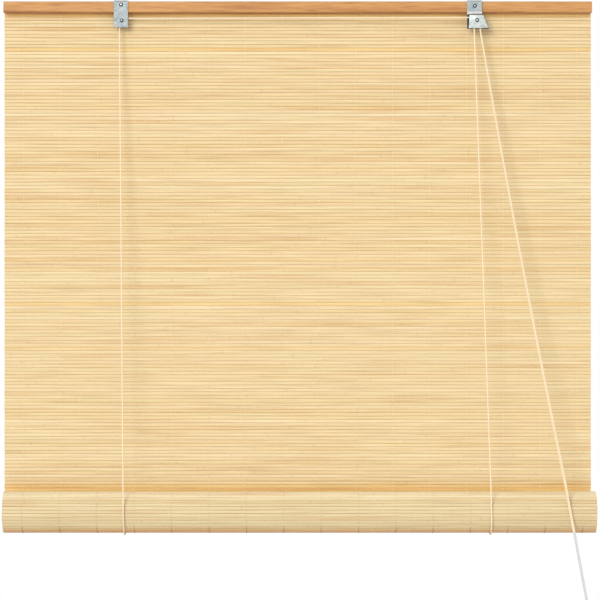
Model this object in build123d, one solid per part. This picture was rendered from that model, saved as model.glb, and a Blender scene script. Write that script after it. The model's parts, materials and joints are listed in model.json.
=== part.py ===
from build123d import *

import math
import os

# Bamboo roll up blind, in millimetres. +X runs right along the headrail, +Z up, and the room is at -Y.
# The wall is the plane Y = 0. The origin lies on the wall, midway between the two keyholes.

# Headrail: two battens with the head of the mat clamped between them
BLIND_WIDTH = 800.0
RAIL_TOP = 9.5
RAIL_HEIGHT = 15.0
RAIL_BOTTOM = RAIL_TOP - RAIL_HEIGHT
STRAP = 1.2                                   # thickness of the bracket steel
REAR_BATTEN_BACK = -STRAP
REAR_BATTEN_DEPTH = 8.0
MAT_BACK = REAR_BATTEN_BACK - REAR_BATTEN_DEPTH
SLAT_DEPTH = 2.0
MAT_FRONT = MAT_BACK - SLAT_DEPTH
FRONT_BATTEN_DEPTH = 12.0
RAIL_FRONT = MAT_FRONT - FRONT_BATTEN_DEPTH
BATTEN_ROUND = 1.5
REAR_BATTEN_ROUND = 1.0                       # under the bend of the straps
NAIL_RADIUS = 0.8
NAIL_HEAD_RADIUS = 1.6
NAIL_HEAD_DEPTH = 0.8
NAIL_LENGTH = 17.0
NAIL_Z = 2.0
NAIL_X = (-385.0, -300.0, -120.0, 120.0, 300.0, 385.0)

# Mat
SLAT_GAP = 0.35
HEAD_SLATS = 3
HANGING_SLATS = 142
WARP_LINES = 16
WARP_FIRST_X = -373.5
WARP_PITCH = 50.3
WARP_WIDTH = 0.8
WARP_DEPTH = 0.4
WARP_GAP = 0.05

# Roll: the lower part of the mat, wound round the bottom rail
ROLL_Y = -39.0
ROLL_Z = RAIL_TOP - 692.1
ROLL_RADIUS = 29.4
ROLL_BAND = 1.8                               # slat thickness as wound
ROLL_TURN_PITCH = 2.36                        # how much each turn adds to the radius
ROLL_INNER_RADIUS = 10.6
ROLL_CHORD = 4.7                              # one slat
ROLL_DRIFT = 2.6                              # the roll winds up slightly to the right
ROLL_END_ANGLE = 14.0                         # degrees above the roll's back
MAT_END_ABOVE_ROLL = 10.5
WARP_END_ABOVE_ROLL = 12.0
BOTTOM_RAIL_WIDTH = 15.6
BOTTOM_RAIL_DEPTH = 8.0
BOTTOM_RAIL_ROUND = 2.0

# Brackets
BRACKET_X = 240.3
LEFT_STRAP_WIDTH = 19.4
RIGHT_STRAP_WIDTH = 20.1
BACK_LEG_LENGTH = 15.0
BEND_RADIUS = 1.4                             # on the middle of the steel
LEFT_STRAP_DROP = 35.6                        # below the top of the rail
CORNER_ROUND = 1.6
KEYHOLE_RADIUS = 4.0
KEYHOLE_NECK_RADIUS = 2.1
KEYHOLE_NECK_RISE = 4.2
POCKET_RADIUS = 4.4
POCKET_DEPTH = 5.0
SCREW_HEAD_RADIUS = 2.45
SCREW_HEAD_HEIGHT = 1.3
SCREW_RADIUS = 1.2
SCREW_LENGTH = 9.0
SCREW_CLEARANCE = 0.05
LEFT_SCREW = (-239.9, RAIL_TOP - 4.6)
RIGHT_SCREW = (240.6, RAIL_TOP - 6.4)

# Pulleys: a turned wheel on a rivet
CORD = 2.0
PULLEY_WIDTH = 3.6
GROOVE_WIDTH = 2.7
GROOVE_TAPER = 0.2
CORD_CLEARANCE = 0.3
AXLE_RADIUS = 1.15
AXLE_CLEARANCE = 0.05
LEFT_PULLEY_X = -239.1
LEFT_PULLEY_Z = RAIL_TOP - 26.1
LEFT_PULLEY_CORD_RADIUS = 3.2
LEFT_PULLEY_OUTER = 4.4
LEFT_CHEEK_GAP = 4.2
LOCK_PULLEY_X = 243.3
LOCK_PULLEY_Z = RAIL_TOP - 26.7
LOCK_PULLEY_CORD_RADIUS = 4.4
LOCK_PULLEY_OUTER = 5.2
PULLEY_SIDE_GAP = 0.3
RIVET_HEAD_RADIUS = 2.4
RIVET_HEAD_HEIGHT = 1.0
RIVET_TAIL_RADIUS = 2.1
RIVET_TAIL_HEIGHT = 0.7

# Cord lock housing: rear cheek, slanted right wall and front cheek of one folded sheet
LOCK_GAP = 3 * PULLEY_SIDE_GAP + 2 * PULLEY_WIDTH
LOCK_TOP = RAIL_TOP - 19.8
LOCK_BOTTOM = RAIL_TOP - 37.4
LOCK_TAB_TOP = RAIL_TOP - 1.5
LOCK_LEFT_TOP_X = 233.0
LOCK_LEFT_BOTTOM_X = 231.8
LOCK_RIGHT_TOP_X = 252.1
LOCK_RIGHT_BOTTOM_X = 258.9
LOCK_WALL_FLARE = 1.2                         # the wall leans out towards the mat
LOCK_CORNER_ROUND = 0.96                      # where the wall is folded from the cheeks
LIP_TOP = RAIL_TOP - 14.1
LIP_DROP = 3.4
LIP_REACH = 2.6
OVERSHOOT = 1.0                               # how far a cut runs past the steel
SAME_HEIGHT = 0.01
CROSSWISE = 0.1                               # largest Y part of an edge that runs across the sheet

# Locking roller on its pin
ROLLER_RADIUS = 2.2
ROLLER_BORE_CLEARANCE = 0.05
PIN_RADIUS = 0.8
PIN_SEAT = 0.6                                # how far each pin end sits in its groove
GROOVE_FLOOR_GAP = 0.1
GROOVE_SIDE_GAP = 0.1
ROLLER_TRAVEL = 5.0
ROLLER_X = 251.4
ROLLER_Z = LOCK_PULLEY_Z - 0.6
KNURL_RIDGES = 14
KNURL_DEPTH = 0.3

# Screw eyes and knots behind the rail
EYE_LEFT_X = -229.0
EYE_RIGHT_X = 252.0
EYE_Y = REAR_BATTEN_BACK - REAR_BATTEN_DEPTH / 2
EYE_RING_RADIUS = 3.4
EYE_WIRE = 0.8
EYE_SHANK_LENGTH = 8.0
EYE_NECK = 0.4
LOOP_RADIUS = 2.2
LOOP_DROP = 0.3
KNOT_RADIUS = 2.2
KNOT_LENGTH = 4.6

# Cords
BIGHT_RADIUS = 30.8                           # cord centre round the roll
LEFT_BIGHT_X = -233.8
RIGHT_BIGHT_X = 260.5
BIGHT_CORNERS = 4                             # tangent arcs that make up the bight
FRONT_STUB = 45.0                             # stretch that rises with the roll, above its axis
REAR_STUB = 25.0
CORD_SLACK = 0.99                             # keeps neighbouring arcs from meeting end to end
BELOW_LOCK = 4.0
PULL_AT_ROLL = (366.0, -70.6, ROLL_Z)
PULL_SPREAD_X = 0.8
PULL_SPREAD_Y = 0.7

# Pull knob, turned from wood
KNOB_TOP_Z = RAIL_TOP - 813.5
KNOB_LENGTH = 30.0
KNOB_RADIUS = 8.5
KNOB_NECK_RADIUS = 4.6
KNOB_BELLY = 0.52                             # share of the length at the widest point
KNOB_FOOT_RADIUS = 5.6
KNOB_NECK_SLOPE = (0.35, 1)
KNOB_FOOT_SLOPE = (-0.75, 1)
KNOB_BORE = 2.7
KNOB_SOCKET = 4.2
KNOB_SOCKET_DEPTH = 7.0
END_KNOT_RADIUS = 3.4
END_KNOT_LENGTH = 5.5
KNOT_GAP = 0.05

LOCK_TAB_FRONT = RAIL_FRONT - STRAP
FRONT_CHEEK_BACK = LOCK_TAB_FRONT - LOCK_GAP
FRONT_CHEEK_FRONT = FRONT_CHEEK_BACK - STRAP
REAR_PULLEY_Y = LOCK_TAB_FRONT - PULLEY_SIDE_GAP - PULLEY_WIDTH / 2
FRONT_PULLEY_Y = REAR_PULLEY_Y - PULLEY_WIDTH - PULLEY_SIDE_GAP
LEFT_PULLEY_Y = RAIL_FRONT + LEFT_CHEEK_GAP / 2
LEFT_CHEEK_FRONT = RAIL_FRONT + LEFT_CHEEK_GAP


def save(name, shape):
    """Write one node."""
    export_step(shape, f"parts/{name}.step")


def block(low, high):
    """A box between two corners."""
    size = [b - a for a, b in zip(low, high)]
    middle = [(a + b) / 2 for a, b in zip(low, high)]
    return Pos(*middle) * Box(*size)


def rod_towards_room(x, z, y_back, y_front, radius):
    """A cylinder along Y, from its back end to its front end."""
    plane = Plane(origin=(x, y_back, z), z_dir=(0, -1, 0))
    rest = (Align.CENTER, Align.CENTER, Align.MIN)
    return plane * Cylinder(radius, y_back - y_front, align=rest)


def between(start, end, share):
    """The point at a share of the way from start to end."""
    return tuple(a + (b - a) * share for a, b in zip(start, end))


def at_height(start, end, z):
    """The point at height z on the line through start and end."""
    return between(start, end, (z - start[2]) / (end[2] - start[2]))


# ---------------------------------------------------------------- headrail

def front_batten():
    half = BLIND_WIDTH / 2
    batten = block((-half, RAIL_FRONT, RAIL_BOTTOM), (half, MAT_FRONT, RAIL_TOP))
    front_edges = batten.edges().filter_by(Axis.X).sort_by(Axis.Y)[:2]
    batten = fillet(front_edges, BATTEN_ROUND)
    hole = SCREW_RADIUS + SCREW_CLEARANCE
    for x, z in (LEFT_SCREW, RIGHT_SCREW):
        batten -= rod_towards_room(x, z, RAIL_FRONT + SCREW_LENGTH, RAIL_FRONT, hole)
    nail_tip = REAR_BATTEN_BACK - NAIL_LENGTH
    for x in NAIL_X:
        batten -= rod_towards_room(x, NAIL_Z, MAT_FRONT, nail_tip, NAIL_RADIUS)
    return batten


def head_pocket(x):
    """The hollow behind a keyhole that takes the head of the wall screw."""
    low = rod_towards_room(x, 0, REAR_BATTEN_BACK, REAR_BATTEN_BACK - POCKET_DEPTH, POCKET_RADIUS)
    high = Pos(0, 0, KEYHOLE_NECK_RISE) * low
    middle = block(
        (x - POCKET_RADIUS, REAR_BATTEN_BACK - POCKET_DEPTH, 0),
        (x + POCKET_RADIUS, REAR_BATTEN_BACK, KEYHOLE_NECK_RISE),
    )
    return low + high + middle


def rear_batten():
    half = BLIND_WIDTH / 2
    batten = block((-half, MAT_BACK, RAIL_BOTTOM), (half, REAR_BATTEN_BACK, RAIL_TOP))
    top_edges = batten.edges().filter_by(Axis.X).sort_by(Axis.Z)[-2:]
    batten = fillet(top_edges.sort_by(Axis.Y)[-1], REAR_BATTEN_ROUND)
    batten -= head_pocket(-BRACKET_X)
    batten -= head_pocket(BRACKET_X)
    for x in NAIL_X:
        batten -= rod_towards_room(x, NAIL_Z, REAR_BATTEN_BACK, MAT_BACK, NAIL_RADIUS)
    for x in (EYE_LEFT_X, EYE_RIGHT_X):
        batten -= eye_shank(x, SCREW_CLEARANCE)
    return batten


def batten_nails():
    head_back = REAR_BATTEN_BACK + NAIL_HEAD_DEPTH
    tip = REAR_BATTEN_BACK - NAIL_LENGTH
    nails = []
    for x in NAIL_X:
        head = rod_towards_room(x, NAIL_Z, head_back, REAR_BATTEN_BACK, NAIL_HEAD_RADIUS)
        shank = rod_towards_room(x, NAIL_Z, REAR_BATTEN_BACK, tip, NAIL_RADIUS)
        nails.append(head + shank)
    return Compound(children=nails)


# ---------------------------------------------------------------- mat

def slat(top, height):
    half = BLIND_WIDTH / 2
    return block((-half, MAT_FRONT, top - height), (half, MAT_BACK, top))


def mat_head_slats():
    """The slats that the two battens clamp."""
    pitch = (RAIL_HEIGHT - SLAT_GAP) / HEAD_SLATS
    slats = []
    for number in range(HEAD_SLATS):
        piece = slat(RAIL_TOP - number * pitch - SLAT_GAP, pitch - SLAT_GAP)
        for x in NAIL_X:
            piece -= rod_towards_room(x, NAIL_Z, MAT_BACK, MAT_FRONT, NAIL_RADIUS)
        slats.append(piece)
    return Compound(children=slats)


def hanging_slats():
    """The flat, hanging part of the mat."""
    top = RAIL_BOTTOM - SLAT_GAP
    pitch = (top - (ROLL_Z + MAT_END_ABOVE_ROLL)) / HANGING_SLATS
    slats = [slat(top - number * pitch, pitch - SLAT_GAP) for number in range(HANGING_SLATS)]
    return Compound(children=slats)


def hanging_warp_threads():
    """Each warp line as a front strand and a back strand."""
    half = WARP_WIDTH / 2
    bottom = ROLL_Z + WARP_END_ABOVE_ROLL
    strands = []
    for number in range(WARP_LINES):
        x = WARP_FIRST_X + number * WARP_PITCH
        for back in (MAT_FRONT - WARP_GAP, MAT_BACK + WARP_GAP + WARP_DEPTH):
            strands.append(block((x - half, back - WARP_DEPTH, bottom), (x + half, back, RAIL_BOTTOM)))
    return Compound(children=strands)


def rolled_mat():
    """The wound part of the mat: one spiral band of flat slats, from its outer end at the back inwards."""
    angle = math.radians(ROLL_END_ANGLE)
    radius = ROLL_RADIUS - ROLL_BAND / 2
    outer, inner = [], []
    while radius > ROLL_INNER_RADIUS:
        direction = (math.cos(angle), math.sin(angle))
        outer.append([radius * c + ROLL_BAND / 2 * c for c in direction])
        inner.append([radius * c - ROLL_BAND / 2 * c for c in direction])
        step = ROLL_CHORD / radius
        angle -= step
        radius -= ROLL_TURN_PITCH * step / (2 * math.pi)
    outline = [(ROLL_Y + y, ROLL_Z + z) for y, z in outer + inner[::-1]]
    start = ROLL_DRIFT - BLIND_WIDTH / 2
    plane = Plane(origin=(start, 0, 0), x_dir=(0, 1, 0), z_dir=(1, 0, 0))
    face = plane * make_face(Polyline(*outline, close=True))
    return extrude(face, BLIND_WIDTH, dir=(1, 0, 0))


def bottom_rail():
    half = BLIND_WIDTH / 2
    rail = block(
        (ROLL_DRIFT - half, ROLL_Y - BOTTOM_RAIL_DEPTH / 2, ROLL_Z - BOTTOM_RAIL_WIDTH / 2),
        (ROLL_DRIFT + half, ROLL_Y + BOTTOM_RAIL_DEPTH / 2, ROLL_Z + BOTTOM_RAIL_WIDTH / 2),
    )
    return fillet(rail.edges().filter_by(Axis.X), BOTTOM_RAIL_ROUND)


# ---------------------------------------------------------------- brackets

def strap(x, width, route, bends):
    """A steel strip that follows a route of (y, z) points on the middle of its thickness."""
    path = FilletPolyline(*[(x, y, z) for y, z in route], radius=bends)
    start = Plane(origin=path @ 0, x_dir=(1, 0, 0), z_dir=path % 0)
    return sweep(start * Rectangle(width, STRAP), path)


def keyhole(x):
    """Entry hole with a narrow neck above it."""
    front = -STRAP - OVERSHOOT
    entry = rod_towards_room(x, 0, OVERSHOOT, front, KEYHOLE_RADIUS)
    neck_end = rod_towards_room(x, KEYHOLE_NECK_RISE, OVERSHOOT, front, KEYHOLE_NECK_RADIUS)
    neck = block(
        (x - KEYHOLE_NECK_RADIUS, front, 0),
        (x + KEYHOLE_NECK_RADIUS, OVERSHOOT, KEYHOLE_NECK_RISE),
    )
    return entry + neck_end + neck


def round_front_corners(shape, z, radius):
    """Round the corners that a piece shows from the room at height z."""
    corners = shape.edges().filter_by(Axis.Y).filter_by_position(Axis.Z, z - SAME_HEIGHT, z + SAME_HEIGHT)
    return fillet(corners, radius)


def left_bracket():
    mid = STRAP / 2
    back_bottom = RAIL_TOP - BACK_LEG_LENGTH
    bottom = RAIL_TOP - LEFT_STRAP_DROP
    front = RAIL_FRONT - mid
    route = [(-mid, back_bottom), (-mid, RAIL_TOP + mid), (front, RAIL_TOP + mid), (front, bottom)]
    body = strap(-BRACKET_X, LEFT_STRAP_WIDTH, route, [BEND_RADIUS, BEND_RADIUS])
    body = round_front_corners(body, bottom, CORNER_ROUND)
    left = -BRACKET_X - LEFT_STRAP_WIDTH / 2
    right = left + LEFT_STRAP_WIDTH
    cheek_top = RAIL_BOTTOM - PULLEY_SIDE_GAP
    cheek_bottom = bottom + CORNER_ROUND
    outer = block((left, RAIL_FRONT, cheek_bottom), (right, LEFT_CHEEK_FRONT + STRAP, cheek_top))
    back_edge = outer.edges().filter_by(Axis.Z).sort_by(Axis.X)[:2].sort_by(Axis.Y)[-1]
    outer = fillet(back_edge, BEND_RADIUS)
    hollow = block(
        (left + STRAP, RAIL_FRONT, cheek_bottom - OVERSHOOT),
        (right + OVERSHOOT, LEFT_CHEEK_FRONT, cheek_top + OVERSHOOT),
    )
    body += outer - hollow
    body -= keyhole(-BRACKET_X)
    x, z = LEFT_SCREW
    body -= rod_towards_room(x, z, RAIL_FRONT, RAIL_FRONT - STRAP, SCREW_RADIUS + SCREW_CLEARANCE)
    axle_back = LEFT_CHEEK_FRONT + STRAP
    body -= rod_towards_room(LEFT_PULLEY_X, LEFT_PULLEY_Z, axle_back, RAIL_FRONT - STRAP, AXLE_RADIUS)
    return body


def right_bracket():
    mid = STRAP / 2
    back_bottom = RAIL_TOP - BACK_LEG_LENGTH
    front = LOCK_TAB_FRONT - mid
    route = [
        (-mid, back_bottom),
        (-mid, RAIL_TOP + mid),
        (front, RAIL_TOP + mid),
        (front, LIP_TOP),
        (front - LIP_REACH, LIP_TOP - LIP_DROP),
    ]
    body = strap(BRACKET_X, RIGHT_STRAP_WIDTH, route, [BEND_RADIUS] * 3)
    body -= keyhole(BRACKET_X)
    x, z = RIGHT_SCREW
    hole = SCREW_RADIUS + SCREW_CLEARANCE
    body -= rod_towards_room(x, z, LOCK_TAB_FRONT, LOCK_TAB_FRONT - STRAP, hole)
    return body


def dome_screw(x, z, seat_y, tip_y):
    """A domed head on its seat, and a shank back into the batten."""
    dome_radius = (SCREW_HEAD_RADIUS ** 2 + SCREW_HEAD_HEIGHT ** 2) / (2 * SCREW_HEAD_HEIGHT)
    centre_y = seat_y - SCREW_HEAD_HEIGHT + dome_radius
    ball = Pos(x, centre_y, z) * Sphere(dome_radius)
    head = ball & rod_towards_room(x, z, seat_y, seat_y - 2 * SCREW_HEAD_HEIGHT, SCREW_HEAD_RADIUS)
    return head + rod_towards_room(x, z, tip_y, seat_y, SCREW_RADIUS)


def left_bracket_screw():
    x, z = LEFT_SCREW
    return dome_screw(x, z, RAIL_FRONT - STRAP, RAIL_FRONT + SCREW_LENGTH)


def right_bracket_screw():
    x, z = RIGHT_SCREW
    return dome_screw(x, z, LOCK_TAB_FRONT - STRAP, RAIL_FRONT + SCREW_LENGTH)


# ---------------------------------------------------------------- pulleys

def pulley(x, y, z, cord_radius, outer_radius):
    """A grooved wheel round the Y axis through (x, y, z), bored for its rivet."""
    half = PULLEY_WIDTH / 2
    groove = GROOVE_WIDTH / 2
    root = cord_radius - CORD / 2 - CORD_CLEARANCE
    bore = AXLE_RADIUS + AXLE_CLEARANCE
    profile = [
        (bore, -half),
        (outer_radius, -half),
        (outer_radius, -groove - GROOVE_TAPER),
        (root, -groove),
        (root, groove),
        (outer_radius, groove + GROOVE_TAPER),
        (outer_radius, half),
        (bore, half),
    ]
    face = make_face(Polyline(*profile, close=True))
    wheel = revolve(face, Axis.Y)
    return Pos(x, y, z) * wheel


def rivet(x, z, back_y, front_y):
    """A rivet through both cheeks: domed head to the room, flat tail behind."""
    dome_radius = (RIVET_HEAD_RADIUS ** 2 + RIVET_HEAD_HEIGHT ** 2) / (2 * RIVET_HEAD_HEIGHT)
    ball = Pos(x, front_y - RIVET_HEAD_HEIGHT + dome_radius, z) * Sphere(dome_radius)
    head = ball & rod_towards_room(x, z, front_y, front_y - 2 * RIVET_HEAD_HEIGHT, RIVET_HEAD_RADIUS)
    shank = rod_towards_room(x, z, back_y, front_y, AXLE_RADIUS)
    tail = rod_towards_room(x, z, back_y + RIVET_TAIL_HEIGHT, back_y, RIVET_TAIL_RADIUS)
    return head + shank + tail


def left_pulley():
    cord_radius = LEFT_PULLEY_CORD_RADIUS
    return pulley(LEFT_PULLEY_X, LEFT_PULLEY_Y, LEFT_PULLEY_Z, cord_radius, LEFT_PULLEY_OUTER)


def left_pulley_rivet():
    return rivet(LEFT_PULLEY_X, LEFT_PULLEY_Z, LEFT_CHEEK_FRONT + STRAP, RAIL_FRONT - STRAP)


def lock_pulley(y):
    return pulley(LOCK_PULLEY_X, y, LOCK_PULLEY_Z, LOCK_PULLEY_CORD_RADIUS, LOCK_PULLEY_OUTER)


def lock_pulley_rivet():
    return rivet(LOCK_PULLEY_X, LOCK_PULLEY_Z, RAIL_FRONT, FRONT_CHEEK_FRONT)


# ---------------------------------------------------------------- cord lock

def lock_outline(y, left_top, left_bottom, right_shift, below, above):
    """The trapezoid of the housing in the plane at y."""
    slope = (LOCK_RIGHT_BOTTOM_X - LOCK_RIGHT_TOP_X) / (LOCK_TOP - LOCK_BOTTOM)
    points = [
        (left_top, y, LOCK_TOP + above),
        (LOCK_RIGHT_TOP_X + right_shift - slope * above, y, LOCK_TOP + above),
        (LOCK_RIGHT_BOTTOM_X + right_shift + slope * below, y, LOCK_BOTTOM - below),
        (left_bottom, y, LOCK_BOTTOM - below),
    ]
    return make_face(Polyline(*points, close=True))


def slide_direction():
    """Unit vector down the slanted wall."""
    run = LOCK_RIGHT_BOTTOM_X - LOCK_RIGHT_TOP_X
    drop = LOCK_TOP - LOCK_BOTTOM
    length = math.hypot(run, drop)
    return run / length, -drop / length


def pin_groove(y_back, y_front):
    """The slanted slot for one end of the roller's pin."""
    dx, dz = slide_direction()
    radius = PIN_RADIUS + GROOVE_SIDE_GAP
    length = ROLLER_TRAVEL + 2 * GROOVE_SIDE_GAP
    plane = Plane(origin=(ROLLER_X, y_back, ROLLER_Z), x_dir=(dx, 0, dz), z_dir=(0, -1, 0))
    outline = Pos(ROLLER_TRAVEL / 2, 0) * SlotCenterToCenter(length, 2 * radius)
    return extrude(plane * outline, y_back - y_front)


def lock_housing():
    """Rear cheek with a tab up the front of the rail, slanted right wall, and front cheek."""
    strip_left = BRACKET_X - RIGHT_STRAP_WIDTH / 2
    strip_right = strip_left + RIGHT_STRAP_WIDTH
    outer = loft([
        lock_outline(RAIL_FRONT, LOCK_LEFT_TOP_X, LOCK_LEFT_BOTTOM_X, LOCK_WALL_FLARE, 0, 0),
        lock_outline(FRONT_CHEEK_FRONT, LOCK_LEFT_TOP_X, LOCK_LEFT_BOTTOM_X, 0, 0, 0),
    ])
    wall = STRAP * math.hypot(1, slide_direction()[0])
    left = strip_left - OVERSHOOT
    hollow = loft([
        lock_outline(LOCK_TAB_FRONT, left, left, LOCK_WALL_FLARE - wall, OVERSHOOT, OVERSHOOT),
        lock_outline(FRONT_CHEEK_BACK, left, left, -wall, OVERSHOOT, OVERSHOOT),
    ])
    across = outer.edges().filter_by(lambda edge: abs((edge % 0).Y) < CROSSWISE)
    outer = fillet(across.sort_by(Axis.X)[-2:], LOCK_CORNER_ROUND)
    housing = outer - hollow
    housing += block((strip_left, LOCK_TAB_FRONT, LOCK_BOTTOM), (LOCK_PULLEY_X, RAIL_FRONT, LOCK_TOP))
    housing += block((strip_left, LOCK_TAB_FRONT, LOCK_TOP), (strip_right, RAIL_FRONT, LOCK_TAB_TOP))
    housing -= pin_groove(LOCK_TAB_FRONT + PIN_SEAT + GROOVE_FLOOR_GAP, LOCK_TAB_FRONT)
    housing -= pin_groove(FRONT_CHEEK_BACK, FRONT_CHEEK_BACK - PIN_SEAT - GROOVE_FLOOR_GAP)
    x, z = LOCK_PULLEY_X, LOCK_PULLEY_Z
    housing -= rod_towards_room(x, z, RAIL_FRONT, FRONT_CHEEK_FRONT, AXLE_RADIUS)
    x, z = RIGHT_SCREW
    housing -= rod_towards_room(x, z, RAIL_FRONT, LOCK_TAB_FRONT, SCREW_RADIUS + SCREW_CLEARANCE)
    return housing


def lock_pin():
    back = LOCK_TAB_FRONT + PIN_SEAT
    front = FRONT_CHEEK_BACK - PIN_SEAT
    return rod_towards_room(ROLLER_X, ROLLER_Z, back, front, PIN_RADIUS)


def lock_roller():
    """A knurled roller, bored for its pin."""
    back = LOCK_TAB_FRONT - PULLEY_SIDE_GAP
    front = FRONT_CHEEK_BACK + PULLEY_SIDE_GAP
    points = []
    for number in range(2 * KNURL_RIDGES):
        radius = ROLLER_RADIUS - KNURL_DEPTH * (number % 2)
        angle = math.pi * number / KNURL_RIDGES
        points.append((radius * math.cos(angle), radius * math.sin(angle)))
    plane = Plane(origin=(ROLLER_X, back, ROLLER_Z), z_dir=(0, -1, 0))
    roller = extrude(plane * make_face(Polyline(*points, close=True)), back - front)
    bore = PIN_RADIUS + ROLLER_BORE_CLEARANCE
    return roller - rod_towards_room(ROLLER_X, ROLLER_Z, back, front, bore)


# ---------------------------------------------------------------- screw eyes and knots

def eye_centre(x):
    return x, EYE_Y, RAIL_BOTTOM - EYE_NECK - EYE_WIRE - EYE_RING_RADIUS


def eye_shank(x, clearance):
    """The shank from the top of the ring up into the rear batten."""
    base = eye_centre(x)[2] + EYE_RING_RADIUS
    length = RAIL_BOTTOM + EYE_SHANK_LENGTH - base
    rest = (Align.CENTER, Align.CENTER, Align.MIN)
    return Pos(x, EYE_Y, base) * Cylinder(EYE_WIRE + clearance, length, align=rest)


def cord_anchor_eyes():
    eyes = []
    for x in (EYE_LEFT_X, EYE_RIGHT_X):
        ring = Pos(*eye_centre(x)) * Rot(90, 0, 0) * Torus(EYE_RING_RADIUS, EYE_WIRE)
        eyes.append(ring + eye_shank(x, 0))
    return Compound(children=eyes)


def knot_top(x):
    """Centre of the loop that a cord makes through its eye."""
    cx, cy, cz = eye_centre(x)
    return cx, cy, cz - EYE_RING_RADIUS - LOOP_DROP


def knot_bottom(x):
    cx, cy, cz = knot_top(x)
    return cx, cy, cz - LOOP_RADIUS - KNOT_LENGTH


def anchor_knots():
    knots = []
    rest = (Align.CENTER, Align.CENTER, Align.MIN)
    for x in (EYE_LEFT_X, EYE_RIGHT_X):
        loop = Pos(*knot_top(x)) * Rot(0, 90, 0) * Torus(LOOP_RADIUS, CORD / 2)
        barrel = Pos(*knot_bottom(x)) * Cylinder(KNOT_RADIUS, KNOT_LENGTH, align=rest)
        knots.append(loop + barrel)
    return Compound(children=knots)


# ---------------------------------------------------------------- cords

def cord_tube(name, points, radii=()):
    """A round cord along straight runs and tangent arcs. Prints its length and its route."""
    path = FilletPolyline(*points, radius=list(radii)) if radii else Line(*points)
    print(name, "length", round(path.length, 1), "radii", [round(radius, 2) for radius in radii])
    print(name, "route", [[round(value, 3) for value in point] for point in points])
    section = Plane(origin=path @ 0, z_dir=path % 0) * Circle(CORD / 2)
    return sweep(section, path)


def tangent_on_roll(point, side):
    """Angle at which the line from point touches the cord's circle round the roll.

    side is -1 for the front and 1 for the back.
    """
    away_y = point[1] - ROLL_Y
    away_z = point[2] - ROLL_Z
    bearing = math.atan2(away_z, away_y)
    opening = math.acos(BIGHT_RADIUS / math.hypot(away_y, away_z))
    angle = bearing - side * opening
    return angle % (2 * math.pi)


def on_roll(x, angle, radius):
    return x, ROLL_Y + radius * math.cos(angle), ROLL_Z + radius * math.sin(angle)


def front_line(top, bight_x):
    """The straight front leg: from the pulley to the front of the roll."""
    angle = tangent_on_roll(top, -1)
    return top, on_roll(bight_x, angle, BIGHT_RADIUS), angle


def rear_line(eye_x, bight_x):
    """The straight back leg: from the knot to the back of the roll."""
    start = knot_bottom(eye_x)
    angle = tangent_on_roll(start, 1)
    return start, on_roll(bight_x, angle, BIGHT_RADIUS), angle


def bight_route(front, rear):
    """From the front stub down round the underside of the roll and up to the rear stub."""
    (top, front_end, front_angle), (knot, rear_end, rear_angle) = front, rear
    sweep_angle = (rear_angle - front_angle) % (2 * math.pi)
    step = sweep_angle / BIGHT_CORNERS
    corner_radius = BIGHT_RADIUS / math.cos(step / 2)
    first_x, last_x = front_end[0], rear_end[0]
    points = [at_height(top, front_end, ROLL_Z + FRONT_STUB)]
    for number in range(BIGHT_CORNERS):
        share = (number + 0.5) / BIGHT_CORNERS
        angle = front_angle + share * sweep_angle
        points.append(on_roll(first_x + (last_x - first_x) * share, angle, corner_radius))
    points.append(at_height(knot, rear_end, ROLL_Z + REAR_STUB))
    return points


def lock_pulley_side(direction):
    """Tangent point (x, z) on the right of a lock pulley for a line along direction (x, z)."""
    dx, dz = direction
    share = LOCK_PULLEY_CORD_RADIUS / math.hypot(dx, dz)
    return LOCK_PULLEY_X - dz * share, LOCK_PULLEY_Z + dx * share


def knob_axis():
    """Top of the knob, and the unit vector down its axis: the line of the two strands together."""
    middle_y = (REAR_PULLEY_Y + FRONT_PULLEY_Y) / 2
    start = (LOCK_PULLEY_X + LOCK_PULLEY_CORD_RADIUS, middle_y, LOCK_PULLEY_Z)
    top = Vector(*at_height(start, PULL_AT_ROLL, KNOB_TOP_Z))
    return top, (top - Vector(*start)).normalized()


def strand_ends():
    """Both pull strands, each from its pulley's right side to the knot in the knob."""
    top, down = knob_axis()
    end = top + down * (KNOB_LENGTH - KNOB_SOCKET_DEPTH - KNOT_GAP)
    across = down.cross(Vector(0, 1, 0)).normalized() * PULL_SPREAD_X
    back = across.cross(down).normalized() * PULL_SPREAD_Y
    left = tuple(end - across + back)
    right = tuple(end + across - back)
    strands = []
    for y, finish in ((REAR_PULLEY_Y, left), (FRONT_PULLEY_Y, right)):
        run = finish[0] - LOCK_PULLEY_X - LOCK_PULLEY_CORD_RADIUS
        x, z = lock_pulley_side((run, finish[2] - LOCK_PULLEY_Z))
        strands.append(((x, y, z), finish))
    return strands


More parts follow.
